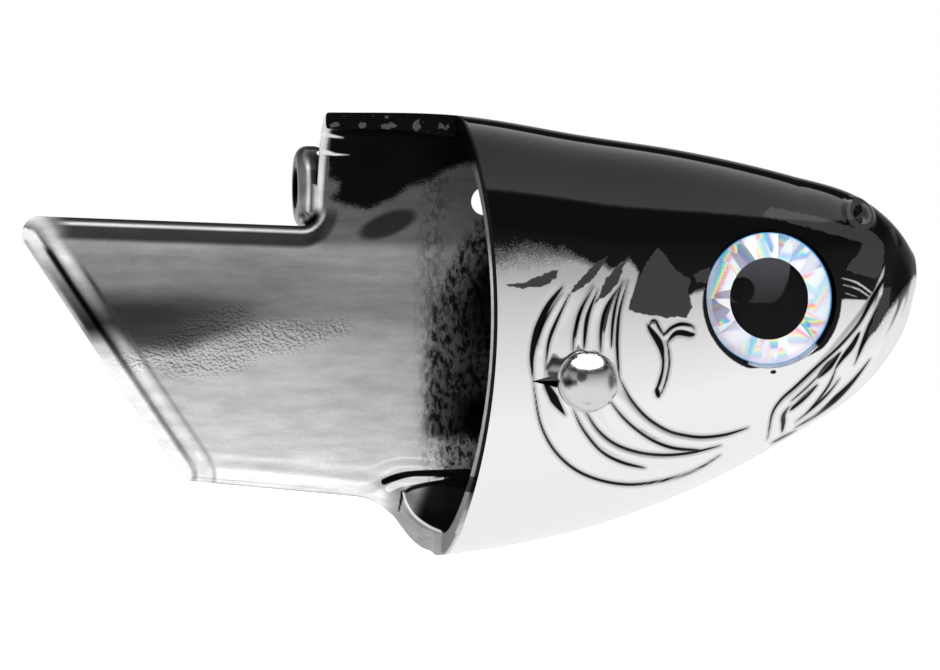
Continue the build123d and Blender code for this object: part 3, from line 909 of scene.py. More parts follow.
def material(name):
    """New material. Gives its nodes and its surface."""
    made = bpy.data.materials.new(name)
    made.use_nodes = True
    made.node_tree.nodes.clear()
    nodes = Nodes(made.node_tree)
    output = nodes.add("ShaderNodeOutputMaterial")
    surface = nodes.add("ShaderNodeBsdfPrincipled")
    nodes.fill(output, {0: surface.outputs[0]})
    return nodes, surface


def group(name, inputs, output):
    """New shader node group of plain values. Gives its nodes, its inputs and its output node."""
    tree = bpy.data.node_groups.new(name, "ShaderNodeTree")
    for label, value in inputs.items():
        tree.interface.new_socket(name=label, in_out="INPUT", socket_type="NodeSocketFloat").default_value = value
    tree.interface.new_socket(name=output, in_out="OUTPUT", socket_type="NodeSocketFloat")
    nodes = Nodes(tree)
    given = nodes.add("NodeGroupInput").outputs
    return nodes, [Wire(nodes, given[label]) for label in inputs], nodes.add("NodeGroupOutput")


# ---- stage ----

# Light of the tent in reflections: elevation in degrees, and brightness.
TENT = ((-90, 0.85), (-86, 0.8), (-84, 0.5), (-82, 0.95), (-28, 0.98), (-12, 0.86), (0, 0.74), (11, 0.6),
        (17, 0.48), (24, 0.4), (29, 0.28), (34, 0.02), (48, 0.02), (50.5, 1.0), (62, 0.75), (78, 0.5), (90, 0.62))


def build_world(settings):
    """Light tent: white backdrop for the camera, and softboxes with dark gaps for the reflections."""
    world = bpy.data.worlds.new("light_tent")
    bpy.context.scene.world = world
    world.use_nodes = True
    world.node_tree.nodes.clear()
    nodes = Nodes(world.node_tree)
    x, y, z = nodes.split(nodes.place("Generated"))
    rise = nodes.math("ARCSINE", z) / math.pi + 0.5
    tent = nodes.ramp(rise, [(0.5 + elevation / 180, (level,) * 3) for elevation, level in TENT])

    def spot(azimuth, elevation, inner, outer):
        """Mask of a round dark thing in one direction, on both sides of the head. Degrees."""
        a, e = math.radians(azimuth), math.radians(elevation)
        near = nodes.take("ShaderNodeCombineXYZ", 0, {0: x, 1: nodes.math("ABSOLUTE", y), 2: z})
        toward = (math.sin(a) * math.cos(e), math.cos(a) * math.cos(e), math.sin(e))
        dot = nodes.take("ShaderNodeVectorMath", "Value", {0: near, 1: toward}, operation="DOT_PRODUCT")
        return nodes.ease(dot, math.cos(math.radians(outer)), math.cos(math.radians(inner)))

    # dark horizon, one dark round, dark ends of the tent, and a brighter panel above
    horizon = nodes.ease(z, -0.30, -0.14) * nodes.ease(z, 0.06, 0.2, 1.0, 0.0) * nodes.ease(x, -0.86, -0.7, 1.0, 0.0)
    tint = nodes.blend(horizon, 1.0, 0.06) * nodes.blend(spot(-34, 20, 17, 23), 1.0, 0.12)
    tint = tint * nodes.ease(nodes.math("ABSOLUTE", x), 0.9, 0.99, 1.0, 0.2) * nodes.ease(z, 0.75, 0.77, 1.0, 4.0)
    path = nodes.add("ShaderNodeLightPath").outputs
    colour = nodes.mix(path["Is Glossy Ray"], (settings.tent_level,) * 3 + (1,), nodes.scale(tent, tint))
    colour = nodes.mix(path["Is Camera Ray"], colour, (1, 1, 1, 1))
    background = nodes.take("ShaderNodeBackground", 0, {"Color": colour})
    nodes.add("ShaderNodeOutputWorld", {0: background})


# ---- sizes and colours ----

def length(name, description, value):
    """Length property in metres, from millimetres."""
    return FloatProperty(name=name, description=description, default=value * MM, unit="LENGTH", precision=5)


def degrees(name, description, value):
    return FloatProperty(name=name, description=description, default=math.radians(value), subtype="ANGLE")


def colour(name, description, value):
    return FloatVectorProperty(name=name, description=description, default=value, size=len(value), subtype="COLOR",
                               min=0, max=1)


class BaitHeadSizes(bpy.types.PropertyGroup):
    """Sizes that the head's form is drawn with."""
    head_length: length("Head length", "Snout to gill rim, at the crown", 43.0)
    crown_height: length("Crown height", "Leader axis to the crown, at the rim", 14.5)
    belly_depth: length("Belly depth", "Leader axis to the keel, at the rim", 25.6)
    half_width: length("Half width", "Mid-plane to the cheek, at the rim", 10.5)
    wall: length("Wall", "Moulded wall", 2.0)
    cavity_back: length("Cavity", "Snout to the front of the cavity", 8.0)
    cavity_nose_taper: length("Cavity taper", "Extra wall at the front of the cavity", 1.5)
    rim_scoop: length("Rim scoop", "How far the gill rim curves in", 2.4)
    rim_rake: length("Rim rake", "How much further back the rim is at the keel", 2.0)
    keel_step: length("Keel step", "How far the right keel ends in front of the left", 0.7)
    snout_fullness: length("Snout fullness", "How much fuller the snout is than its frames, above and below", 0.42)
    keel_bulge: length("Keel bulge", "How far the left shell's keel end is rounded out", 0.8)
    rim_rounding: length("Rim rounding", "How far a rim is rounded over", 0.35)
    collar_length: length("Collar", "Gill rim to the collar's rear edge", 12.0)
    vane_top: length("Vane top", "Height of the vane's upper edge at the collar", 4.4)
    vane_rise: length("Vane rise", "How much higher that edge is at the tail", 1.0)
    vane_low: length("Vane low", "Height of the vane's lower corner", -19.1)
    vane_length: length("Vane", "Collar to the tail's upper corner", 28.6)
    tail_rake: length("Tail rake", "How much further forward the lower corner is", 16.2)
    root_length: length("Root", "Keel rim to the bend of the lower edge", 5.0)
    root_drop: length("Root drop", "How far the lower edge has dropped there", 1.7)
    corner_radius: length("Corner radius", "Tail corners", 1.6)
    root_radius: length("Root radius", "Bend of the lower edge", 5.0)
    step_radius: length("Step radius", "Inner corner between collar and vane", 1.3)
    panel_recess: length("Panel recess", "How far the panel lies below its border", 0.5)
    eye_back: length("Eye back", "Snout to the eye's centre", 15.45)
    eye_height: length("Eye height", "Height of the eye's centre", -2.24)
    eye_radius: length("Eye radius", "Radius of the eye", 6.0)
    eye_depth: length("Eye depth", "Cheek surface down to the foil", 1.45)
    foil_thickness: length("Foil", "Thickness of the foil", 0.15)
    pad_thickness: length("Pad", "Thickness of the adhesive pad", 0.25)
    dome_edge: length("Dome edge", "Straight edge of the resin dome", 0.3)
    dome_rise: length("Dome rise", "Crown of the dome above the foil", 1.5)
    socket_gap: length("Socket gap", "Socket wall to eye", 0.35)
    socket_floor: length("Socket floor", "Wall behind the socket", 1.2)
    pupil_radius: length("Pupil radius", "Radius of the printed pupil", 3.66)
    tube_bore_radius: length("Tube bore", "Radius of the leader tube's bore", 0.75)
    tube_radius: length("Tube radius", "Outer radius of the leader tube", 1.1)
    tube_seat_gap: length("Tube gap", "Tube to its seat", 0.02)
    tube_length: length("Tube length", "Length of the leader tube", 9.5)
    line_hole_radius: length("Line hole", "Radius of the line hole", 1.33)
    line_hole_to_rim: length("Line hole place", "Line hole to the gill rim", 3.7)
    line_hole_height: length("Line hole height", "Height of the line hole", 6.8)
    guide_radius: length("Guide radius", "Outer radius of the rig guide", 3.9)
    guide_hole_radius: length("Guide hole", "Radius of the guide's hole", 1.8)
    guide_thickness: length("Guide thickness", "Thickness of the guide", 2.8)
    guide_overhang: length("Guide overhang", "How far the guide stands behind the collar", 1.6)
    guide_height: length("Guide height", "Height of the guide's centre", 8.06)
    guide_offset: length("Guide offset", "Mid-plane to the guide's centre", 10.6)
    pin_to_rim: length("Pin place", "Bait pin to the gill rim", 10.1)
    pin_height: length("Pin height", "Height of the bait pin", -9.57)
    pin_radius: length("Pin radius", "Radius of the shank", 0.6)
    pin_point: length("Pin point", "Length of the conical point", 2.0)
    ball_radius: length("Ball radius", "Radius of the pin's ball", 2.75)
    ball_sink: length("Ball sink", "How deep the ball sits below the cheek", 1.15)
    ball_socket_depth: length("Ball socket", "Blind hole in the ball for the shank", 3.4)
    tip_gap: length("Tip gap", "End of the pin to the keeper's floor", 0.4)
    seat_gap: length("Seat gap", "Ball to its seat", 0.1)
    pin_clearance: length("Pin clearance", "Shank to its bore", 0.05)
    boss_radius: length("Boss radius", "Radius of the bosses round the pin", 2.6)
    boss_depth: length("Boss depth", "How far the bosses stand into the cavity", 1.6)
    keeper_radius: length("Keeper radius", "Outer radius of the keeper bush", 1.5)
    keeper_floor: length("Keeper floor", "Wall left behind the keeper", 1.1)
    notch_length: length("Notch length", "Fingernail notch behind the ball", 2.2)
    notch_width: length("Notch width", "Width of the notch at the ball", 2.4)
    notch_depth: length("Notch depth", "Depth of the notch", 0.9)


class BaitHeadColours(bpy.types.PropertyGroup):
    """Colours of the finishes."""
    chrome: colour("Chrome", "Vacuum chrome on the skin", (0.88, 0.88, 0.885))
    lacquer: colour("Lacquer", "Black lacquer over the back", (0.004, 0.004, 0.0045))
    # painted reflection: the grey that the lacquer is painted where the softbox would reflect in it
    thin_lacquer: colour("Thin lacquer", "Lacquer where it is sprayed thinly", (0.04, 0.04, 0.041))
    steel: colour("Steel", "Polished steel of the pin and tube", (0.72, 0.715, 0.71))
    pupil: colour("Pupil", "Printed pupil", (0.004, 0.004, 0.005))
    silicone: colour("Silicone", "Keeper bush", (0.03, 0.03, 0.032))
    foam: colour("Foam", "Adhesive pad", (0.02, 0.02, 0.021))


class BaitHeadStage(bpy.types.PropertyGroup):
    """Camera, floor and light."""
    azimuth: degrees("Azimuth", "Camera angle round the head", -9)
    elevation: degrees("Elevation", "Camera angle above the horizon", 1)
    distance: length("Distance", "Camera to the point it looks at", 358.8)
    lens: FloatProperty(name="Lens", description="Focal length in millimetres", default=150.0)
    floor_gap: length("Floor gap", "Keel down to the floor", 12.0)
    tent_level: FloatProperty(name="Tent level", description="Light of the tent on plain surfaces", default=0.85)
    lamp_power: FloatProperty(name="Lamp power", description="Power of the softbox lamp in watts", default=1.1)


# ---- operators ----

class BAITHEAD_OT_stage(bpy.types.Operator):
    """Camera, plain floor, light tent and a softbox lamp"""
    bl_idname = "baithead.stage"
    bl_label = "Stage"

    def execute(self, context):
        scene = context.scene
        settings = scene.bait_head_stage
        scene.view_settings.view_transform = "Standard"
        lens = bpy.data.cameras.new("camera")
        lens.lens, lens.sensor_width, lens.clip_start, lens.clip_end = settings.lens, 36, 0.01, 20
        aim = Vector(CAMERA_AIM) * MM
        a, e = settings.azimuth, settings.elevation
        offset = Vector((math.sin(a) * math.cos(e), -math.cos(a) * math.cos(e), math.sin(e)))
        scene.camera = pointed("camera", lens, aim + offset * settings.distance, -offset)
        build_world(settings)
        build_floor(CAD_BOX[0].z - settings.floor_gap)
        lamp = bpy.data.lights.new("softbox", "AREA")
        lamp.shape, lamp.size, lamp.size_y, lamp.energy = "RECTANGLE", 0.5, 0.4, settings.lamp_power
        spot = Vector((-0.1, -0.15, 0.45))
        pointed("softbox", lamp, spot, aim - spot).visible_glossy = False
        return {"FINISHED"}


def pointed(name, data, location, direction):
    """Camera or lamp in the scene, looking in a direction."""
    thing = place(name, data)
    thing.location = location
    thing.rotation_mode = "QUATERNION"
    thing.rotation_quaternion = direction.to_track_quat("-Z", "Y")
    return thing


def build_floor(level):
    """Round pale floor under the head. The camera sees its white, darkened by the shadow."""
    sheet = Sheet()
    sides, middle = 96, -40
    turn = np.linspace(0, math.tau, sides + 1)[:-1]
    rings = [sheet.add(np.column_stack([
        radius * np.cos(turn) + middle, radius * np.sin(turn), np.full(sides, level / MM)]))
        for radius in (40, 160, 700)]
    sheet.face(rings[0], 0)
    for low, high in zip(rings, rings[1:]):
        sheet.quads(np.stack([np.append(low, low[0]), np.append(high, high[0])]), 0)
    floor = sheet.build("floor")
    nodes, surface = material("pale_floor")
    grain = nodes.noise(nodes.place(), 900.0, 3.0)
    seen = nodes.add("ShaderNodeLightPath").outputs["Is Camera Ray"]
    nodes.fill(surface, {
        "Base Color": nodes.ramp(grain, ((0.3, (0.93,) * 3), (0.7, (0.95,) * 3))), "Roughness": 0.9,
        "Specular IOR Level": 0.0, "Emission Color": nodes.mix(seen, (0, 0, 0, 1), (0.42, 0.42, 0.42, 1)),
        "Emission Strength": 1.0})
    floor.data.materials.append(bpy.data.materials["pale_floor"])
    floor.visible_glossy = False


class BAITHEAD_OT_finishes(bpy.types.Operator):
    """Shared node groups and the materials"""
    bl_idname = "baithead.finishes"
    bl_label = "Finishes"

    def execute(self, context):
        colours = context.scene.bait_head_colours
        build_groups()
        build_shell_finishes(colours)
        build_small_finishes(colours)
        return {"FINISHED"}


def build_groups():
    """Effects that several finishes share."""
    nodes, (distance, fade, grit), result = group(
        "airbrush mist", {"Distance": 0.0, "Fade": 1.0, "Grain": 0.5}, "Cover")
    place = nodes.place()
    grain = nodes.noise(place, 7000.0, 2.0, 0.7) - 0.5
    drift = nodes.noise(place, 900.0, 2.0, 0.6) - 0.5
    share = distance / fade + (grain * 2.4 + drift * 1.0) * grit
    nodes.fill(result, {"Cover": nodes.ease(share, -0.5, 0.5)})
    nodes, (scale, amount), result = group("orange peel", {"Scale": 1000.0, "Amount": 1.0}, "Height")
    nodes.fill(result, {"Height": nodes.noise(nodes.place(), scale, 1.0, 0.4) * amount})


def build_shell_finishes(colours):
    """Chrome under black lacquer for the skin, and smoky chrome with painted reflections and shade for everything
    behind it.
    """
    nodes, surface = material("chrome_and_lacquer")
    mark, groove = nodes.mark, nodes.mark("groove")
    # painted shade: the chrome is darkened beside grooves and painted near black inside them and in the nostril's pit
    skin = nodes.scale(tuple(colours.chrome), nodes.ease(groove, -0.36, -0.02, 1.0, 0.68))
    bare = nodes.mix(nodes.ease(groove, -0.07, 0.06), skin, (0.008, 0.008, 0.0085, 1))
    # painted reflection: grey patches in the lacquer, and on the nostril's ring, stand in for the softbox's
    # reflection
    wavy = (nodes.noise(nodes.place(), 1500.0, 2.0) - 0.5) * 0.5
    thin = nodes.ease(mark("thin_coat") + wavy, -0.06, 0.06)
    mist = nodes.use("airbrush mist", Distance=mark("paint_edge"), Fade=mark("paint_fade"), Grain=0.5)
    cover = nodes.math("MAXIMUM", mist, thin)
    ink = nodes.mix(thin, (*colours.lacquer, 1), (*colours.thin_lacquer, 1))
    nodes.fill(surface, {
        "Base Color": nodes.mix(cover, bare, ink), "Metallic": nodes.ease(cover, 0.7, 1.0, 1.0, 0.0),
        "Roughness": nodes.blend(cover, 0.05, 0.03), "Specular IOR Level": 0.125,
        "Normal": nodes.lift(nodes.use("orange peel", Scale=900.0, Amount=1.0), 0.1, 0.00003)})

    nodes, surface = material("seam_face")
    place = nodes.place()
    x, _, z = nodes.split(place)
    spots = nodes.ease(nodes.noise(place, 900.0, 3.0), 0.62, 0.65, 0.0, 0.07)
    speck = nodes.ease(nodes.noise(place, 2600.0, 3.0, 0.6), 0.66, 0.7, 0.0, 0.06)
    # ragged blots in a row near the crown
    off, rise = (nodes.math("FRACT", x / 0.0025 + 30.2) - 0.5) * 2.5, (z - 0.0135) * 1700.0
    ragged = nodes.math("SQRT", off * off + rise * rise) + (nodes.noise(place, 1300.0, 3.0, 0.6) - 0.5) * 2.4
    blots = nodes.ease(ragged, 0.42, 0.52, 0.075, 0.0)
    dark = 0.002 + (nodes.math("MAXIMUM", blots, spots) + speck)
    level = nodes.blend(nodes.ease(z, -0.004, 0.006), 0.42 + spots, dark)
    nodes.fill(surface, {"Base Color": nodes.grey(level), "Roughness": 0.3, "Specular IOR Level": 0.05})

    for name, metal, rough in (("smoky_chrome", 0.1, 0.28), ("worn_chrome", 0.35, 0.2)):
        build_smoky(name, metal, rough)


def build_smoky(name, metal, rough):
    """Chrome under smoke and overspray, with tones, patches and orange peel stored on the mesh; the tones are mostly
    painted reflections and shade.
    """
    nodes, surface = material(name)
    place, mark = nodes.place(), nodes.mark
    mottle, peel = mark("smoke_mottle"), mark("peel")
    cloud = nodes.noise(place, 260.0)
    drift = nodes.noise(nodes.mapped(place, (0.35, 1.0, 1.6)), 620.0, 4.0, 0.6)
    haze = 0.94 + cloud * 0.12 + (nodes.noise(place, 3600.0, 2.0, 0.7) - 0.5) * 0.22
    patches = nodes.noise(nodes.mapped(place, (1.5, 1.0, 0.8)), 1500.0, 3.0, 0.6, 0.3)
    patch = nodes.ease(patches, 0.38, 0.62) * mottle
    # painted light and shade on each pit of the orange peel: the slope of a grain, as if lit from above
    flat = nodes.mapped(place, (1.0, 1.0, 1.3), (0, 0.4, 0))
    lit = nodes.take("ShaderNodeVectorMath", 0, {0: flat, 1: (0.00008, 0, 0.00011)}, operation="ADD")
    grain = nodes.noise(flat, 3200.0, 1.5)
    slope = grain - nodes.noise(lit, 3200.0, 1.5)
    pits = 1.0 + peel * nodes.ease(slope, -0.12, 0.2, 0.26, -0.62)
    haze = haze * nodes.ease(drift, 0.25, 0.75, 0.84, 1.12) * pits
    level = nodes.math("MULTIPLY", mark("smoke_tone") * haze, nodes.blend(patch, 1.0, 0.07), clamp=True)
    level = nodes.blend(nodes.use("airbrush mist", Distance=mark("overspray"), Fade=0.7, Grain=0.9), level, 0.002)
    # painted shadow strokes and painted highlights
    for stroke, tone in (("ink", 0.003), ("gleam", 0.95)):
        level = nodes.blend(nodes.ease(mark(stroke), -0.06, 0.06), level, tone)
    height = grain * (peel * 2.0) + nodes.use("orange peel", Scale=700.0, Amount=0.12) + patches * (mottle * 0.3)
    nodes.fill(surface, {
        "Base Color": nodes.grey(level), "Metallic": metal, "Roughness": rough + cloud * 0.08,
        "Specular IOR Level": 0.04, "Normal": nodes.lift(height, 0.6, 0.0003)})


def shade(colour, share=1.0):
    """A colour, darkened or brightened, with full alpha."""
    return (*[part * share for part in colour], 1)


def build_small_finishes(colours):
    """Steel, foil, resin, silicone and foam."""
    nodes, surface = material("mirror_steel")
    haze = nodes.noise(nodes.place(), 1800.0, 4.0, 0.6)
    nodes.fill(surface, {
        "Base Color": nodes.mix(haze, shade(colours.steel, 0.94), shade(colours.steel)), "Metallic": 1.0,
        "Roughness": nodes.ease(haze, 0.3, 0.7, 0.16, 0.24)})

    nodes, surface = material("black_silicone")
    bloom = nodes.noise(nodes.place(), 2500.0, 3.0, 0.6)
    nodes.fill(surface, {
        "Base Color": nodes.mix(bloom, shade(colours.silicone), shade(colours.silicone, 1.6)),
        "Roughness": nodes.ease(bloom, 0.3, 0.7, 0.45, 0.6)})

    nodes, surface = material("adhesive_foam")
    cells = nodes.take("ShaderNodeTexVoronoi", "Distance", {"Vector": nodes.place(), "Scale": 5000.0})
    nodes.fill(surface, {
        "Base Color": nodes.mix(cells, shade(colours.foam, 0.5), shade(colours.foam, 2)), "Roughness": 0.85,
        "Normal": nodes.lift(cells, 0.5, 0.0001)})

    nodes, surface = material("clear_resin")
    flow = nodes.noise(nodes.place(), 220.0, 2.0, 0.4)
    nodes.fill(surface, {
        "Base Color": (0.98, 0.99, 1.0, 1), "Roughness": nodes.ease(flow, 0.3, 0.7, 0.004, 0.02),
        "Transmission Weight": 1.0, "IOR": 1.2, "Specular IOR Level": 0.1})

    build_foil(colours)


FACETS = 13      # pairs of facets round the foil
# Colours of the foil: along its rainbow, and of whole facets.
RAINBOW = ((0.0, (1.0, 0.99, 0.94)), (0.16, (0.85, 0.75, 0.9)), (0.26, (0.3, 0.3, 0.62)), (0.36, (0.1, 0.5, 0.75)),
           (0.44, (0.2, 0.7, 0.55)), (0.51, (0.95, 0.85, 0.25)), (0.57, (1.0, 0.4, 0.16)),
           (0.65, (0.9, 0.35, 0.55)), (0.75, (0.9, 0.85, 1.0)), (1.0, (1.0, 0.99, 0.94)))
PASTELS = ((0.0, (1.0, 0.98, 0.9)), (0.3, (0.86, 0.96, 1.0)), (0.55, (1.0, 0.94, 0.93)), (0.8, (0.8, 0.83, 0.93)),
           (1.0, (1.0, 1.0, 0.98)))


def build_foil(colours):
    """Holographic foil: wedge facets with rainbow bands, rulings and dots, round a printed pupil."""
    nodes, surface = material("holographic_foil")
    place, ease, mix, blend = nodes.place(), nodes.ease, nodes.mix, nodes.blend
    x, y = (part * (1 / MM) for part in nodes.split(place)[:2])

    def cosine(angle):
        return nodes.math("COSINE", angle)

    def sine(angle):
        return nodes.math("SINE", angle)

    def far(across, up):
        return nodes.math("SQRT", (x - across) ** 2.0 + (y - up) ** 2.0)

    def along(angle):
        return x * cosine(angle) + y * sine(angle)

    radius, angle = far(0.0, 0.0), nodes.math("ARCTAN2", y, x)
    # triangles that point in and out by turns, of uneven width
    around = nodes.take("ShaderNodeCombineXYZ", 0, {0: cosine(angle), 1: sine(angle)})
    turn = angle * (FACETS / math.tau) + nodes.noise(around, 1.4, 1.0) * 6.0
    peak = 1.0 - nodes.math("ABSOLUTE", nodes.math("FRACT", turn) * 2.0 - 1.0)
    inner = nodes.math("LESS_THAN", (radius - 3.4) / 2.3, peak)
    number = blend(inner, nodes.math("FLOOR", turn + 0.5) + 0.5, nodes.math("FLOOR", turn))
    chance = nodes.take("ShaderNodeTexWhiteNoise", "Color", noise_dimensions="1D", inputs={"W": number * 7.31})
    cell = nodes.split(chance, "ShaderNodeSeparateColor")
    lean = cell[0] * math.tau
    spectrum = nodes.ramp(nodes.math("FRACT", along(lean) * 0.38 + cell[1] * 5.0), RAINBOW)
    pastel = nodes.ramp(cell[1], PASTELS)
    lively = nodes.math("MAXIMUM", ease(cosine(angle - 2.55), 0.1, 0.6), ease(cosine(angle + 0.4), 0.86, 0.95))
    colourful = ease(cell[2], 0.1, 0.45, 0.6, 1.0) * blend(lively, 0.8, 1.0)
    tone = mix(colourful, pastel, mix(1.0, spectrum, pastel, "MULTIPLY"))
    rulings = ease(sine(along(lean + 0.9) * 30.0), -0.4, 0.9)
    cells = nodes.take("ShaderNodeTexVoronoi", "Distance", voronoi_dimensions="2D",
                       inputs={"Vector": place, "Scale": 4200.0, "Randomness": 0.4})
    pattern = blend(ease(cell[1], 0.28, 0.3), ease(cells, 0.25, 0.4, 1.0, 0.0), rulings)
    tone = mix(pattern * ease(cell[0], 0.3, 0.9, 0.1, 0.6), tone, (0.45, 0.76, 0.88, 1))
    tone = mix(ease(cell[2], 0.66, 0.68) * blend(lively, 0.25, 0.75), tone, (0.2, 0.19, 0.3, 1))
    # lavender outer band below and at the rear, and a thin blue edge
    low = ease(sine(angle + 0.4), -0.2, 0.3, 1.0, 0.0)
    tone = mix(ease(radius, 5.3, 5.45) * (low * 0.6), tone, (0.66, 0.65, 0.8, 1))
    tone = mix(ease(radius, 5.8, 5.92), tone, (0.08, 0.4, 0.8, 1))
    pupil = ease(radius, 3.64, 3.68, 1.0, 0.0)
    # painted reflection: a grey sheen in the pupil
    sheen = ease(far(-2.6, 3.0), 4.5, 4.6, 1.0, 0.0) * ease(far(-2.5, 0.75), 1.12, 1.2)
    sheen = sheen * ease(y, -0.42, -0.3) * ease(y, -0.4, 3.4, 0.35, 1.0)
    ink = mix(sheen, (*colours.pupil, 1), (0.085, 0.082, 0.09, 1))
    # painted light: outside the pupil the foil glows with its own colours, though it is no lamp
    nodes.fill(surface, {
        "Base Color": mix(pupil, tone, ink), "Metallic": ease(pupil, 0.0, 1.0, 0.15, 0.0), "Roughness": 0.3,
        "Specular IOR Level": 0.0, "Emission Color": mix(pupil, tone, (0, 0, 0, 1)), "Emission Strength": 0.4})


# Lower edge of the lacquer: distance behind the snout, height, and how far the airbrush fades there.
PAINT_LINE = (
    (55.3, 40.0, 0.2), (55.2, 7.0, 0.3), (54.6, 4.2, 0.8), (52.0, 3.0, 2.4), (45.0, 1.4, 3.0), (41.0, 1.0, 3.0),
    (38.6, 1.5, 3.0), (36.3, 1.55, 2.4), (35.0, 1.5, 1.9), (34.0, 1.4, 1.4), (33.2, 1.15, 1.0), (32.5, 0.8, 0.8),
    (31.8, 0.6, 0.7), (31.1, 0.8, 0.6), (30.6, 0.4, 0.6), (30.0, 0.4, 0.5), (29.3, 0.9, 0.5), (28.7, 1.2, 0.5),
    (28.2, 0.6, 0.5), (27.9, 0.1, 0.3), (28.4, -1.5, 0.15), (28.9, -3.0, 0.1), (27.5, -3.3, 0.1), (26.4, -3.6, 0.1),
    (25.6, -3.66, 0.1), (23.6, -3.66, 0.1), (23.2, -2.9, 0.12), (23.3, -2.0, 0.2), (22.6, -1.6, 0.5),
    (21.4, -1.4, 0.6), (15.5, -3.0, 0.5), (9.0, -2.7, 0.4), (8.3, -2.3, 0.25), (6.0, -2.4, 0.15), (5.2, -1.5, 0.2),
    (4.3, 0.2, 0.15), (4.0, 0.8, 0.12), (4.2, -0.3, 0.15), (4.3, -2.0, 0.15), (5.6, -5.0, 0.25), (6.3, -6.5, 0.3),
    (4.8, -5.1, 0.35), (3.5, -3.3, 0.45), (2.1, -1.8, 0.5), (0.6, -0.3, 0.5), (-3.0, -0.1, 0.5),
)
# Painted reflections: dark grey patches in the black lacquer where the softbox would reflect, as outlines behind the
# snout and in height.
THIN_COATS = (
    ((26.1, 2.3), (26.7, 1.6), (27.5, 0.4), (28.3, -1.3), (29.0, -3.2), (27.5, -3.6), (25.6, -3.9), (23.5, -3.9),
     (23.0, -3.0), (23.35, -1.6), (23.1, -0.5), (24.5, 0.4), (25.3, 1.7)),
    ((30.6, 1.7), (31.7, 0.0), (32.6, -0.9), (34.2, -1.8), (34.8, -2.6), (33.8, -1.0), (32.5, 0.4), (31.4, 1.2)),
    ((28.7, 1.6), (29.4, 0.4), (29.8, -0.8), (30.7, -1.8), (32.0, -2.6), (30.9, -0.4), (29.8, 0.6)),
    ((40.6, -0.95), (38.6, -0.8), (37.2, -0.2), (35.1, 0.5), (35.6, -0.5), (36.8, -1.15), (38.6, -1.25)),
    ((16.0, 5.3), (13.1, 4.65), (10.2, 3.95), (7.9, 3.3), (6.0, 2.8), (6.6, 2.0), (7.4, 1.2), (8.1, 0.3),
     (6.6, -0.1), (5.1, -0.45), (4.5, 0.1), (4.2, 0.8), (4.0, 1.6), (3.9, 2.6), (4.4, 3.5), (5.4, 4.0), (6.8, 4.15),
     (9.2, 4.85), (12.1, 5.6), (15.0, 6.1)),
    ((22.9, -0.1), (21.2, 0.8), (21.0, -0.9), (22.5, -0.7)),
    ((4.1, -1.2), (3.4, -1.2), (3.6, -2.9), (4.7, -4.8), (5.8, -6.2), (5.5, -4.8)),
)
# Painted highlights and painted shadow lines beside the ledge inside the keel: line, half widths and tone.
LEDGE_MARKS = (
    (((47.15, -20.3), (46.95, -21.3), (46.3, -22.4), (45.2, -23.25), (44.3, -23.65)), (0.09, 0.13, 0.11), 0.95),
    (((47.25, -20.2), (47.45, -21.0), (47.75, -21.9)), (0.14, 0.14, 0.1), 0.2),
    (((48.5, -19.95), (47.6, -19.55), (46.4, -19.25), (45.0, -19.1), (43.4, -18.98)), (0.3, 0.36, 0.12), 1.0),
    (((48.9, -19.3), (47.9, -18.95), (46.7, -18.7), (45.0, -18.62), (41.0, -18.5)), (0.3, 0.4, 0.36), 0.02),
    (((46.9, -20.2), (46.1, -19.85), (44.6, -19.5), (43.2, -19.3), (41.0, -19.2)), (0.16, 0.24, 0.5), 0.03),
)
# Outline of the hollow above the keel's moulded edge, where its shadow is painted.
KEEL_HOLLOW = ((47.15, -20.3), (46.95, -21.3), (46.3, -22.4), (45.2, -23.25), (43.9, -23.8), (42.0, -24.3),
               (38.0, -24.3), (38.0, -19.3), (46.3, -19.4))
# Painted highlights by the collar: line, half widths and tone.
COLLAR_MARKS = (
    (((54.6, 11.2), (53.6, 11.0), (52.2, 10.9)), (0.22, 0.1, 0.06), 0.75),
    (((54.9, 12.75), (54.0, 12.6), (53.0, 12.45)), (0.2, 0.12, 0.05), 0.6),
)
# Outline of the orange peel on the vane's inner face.
PEEL_PATCH = ((73.6, -8.2), (72.4, -7.3), (69.0, -5.8), (65.0, -3.5), (61.8, -3.0), (60.8, -4.2), (57.8, -4.3),
              (55.4, -4.7), (52.2, -4.4), (51.6, -5.2), (54.1, -6.2), (57.0, -7.2), (60.2, -7.6), (61.8, -9.0),
              (65.7, -9.5), (68.6, -9.7), (70.2, -8.5), (72.1, -9.0))
# Ragged lower edge of the black overspray inside the collar.
OVERSPRAY_EDGE = ((60.0, 12.0), (54.6, 10.2), (54.2, 9.2), (53.0, 8.2), (53.6, 7.0), (52.8, 6.5), (51.4, 6.2),
                  (50.1, 6.0), (49.2, 6.4), (48.2, 6.9), (47.2, 7.5), (46.4, 8.1), (44.6, 8.7), (43.5, 9.4),
                  (41.6, 10.1), (38.0, 10.6))


# Tones of the inside by height, painted reflections of the tent: heights, and the tone at each.
WALL_TONE = ((-26, -22, -19, -17.5, -15.5, -12, -9.5, -8, -6.5, -5, -3.5, -1.5, 0.5, 1.6, 2.6, 3.6, 6.0, 14.0),
             (0.62, 0.7, 0.94, 0.9, 0.85, 0.79, 0.76, 0.75, 0.72, 0.64, 0.56, 0.51, 0.52, 0.54, 0.64, 0.58, 0.4, 0.3))
# Painted shade behind the gill rim, and deeper inside the head: heights, and the tone at each.
SHADE_TONE = (-19, -16, -14.8, -11, -6, 2, 8), (0.5, 0.6, 0.3, 0.36, 0.42, 0.42, 0.4)
DEEP_TONE = (-18, -15.6, -14.8, -12.5, -11, -8, -4, 0, 5), (0.38, 0.42, 0.05, 0.04, 0.2, 0.24, 0.12, 0.05, 0.12)
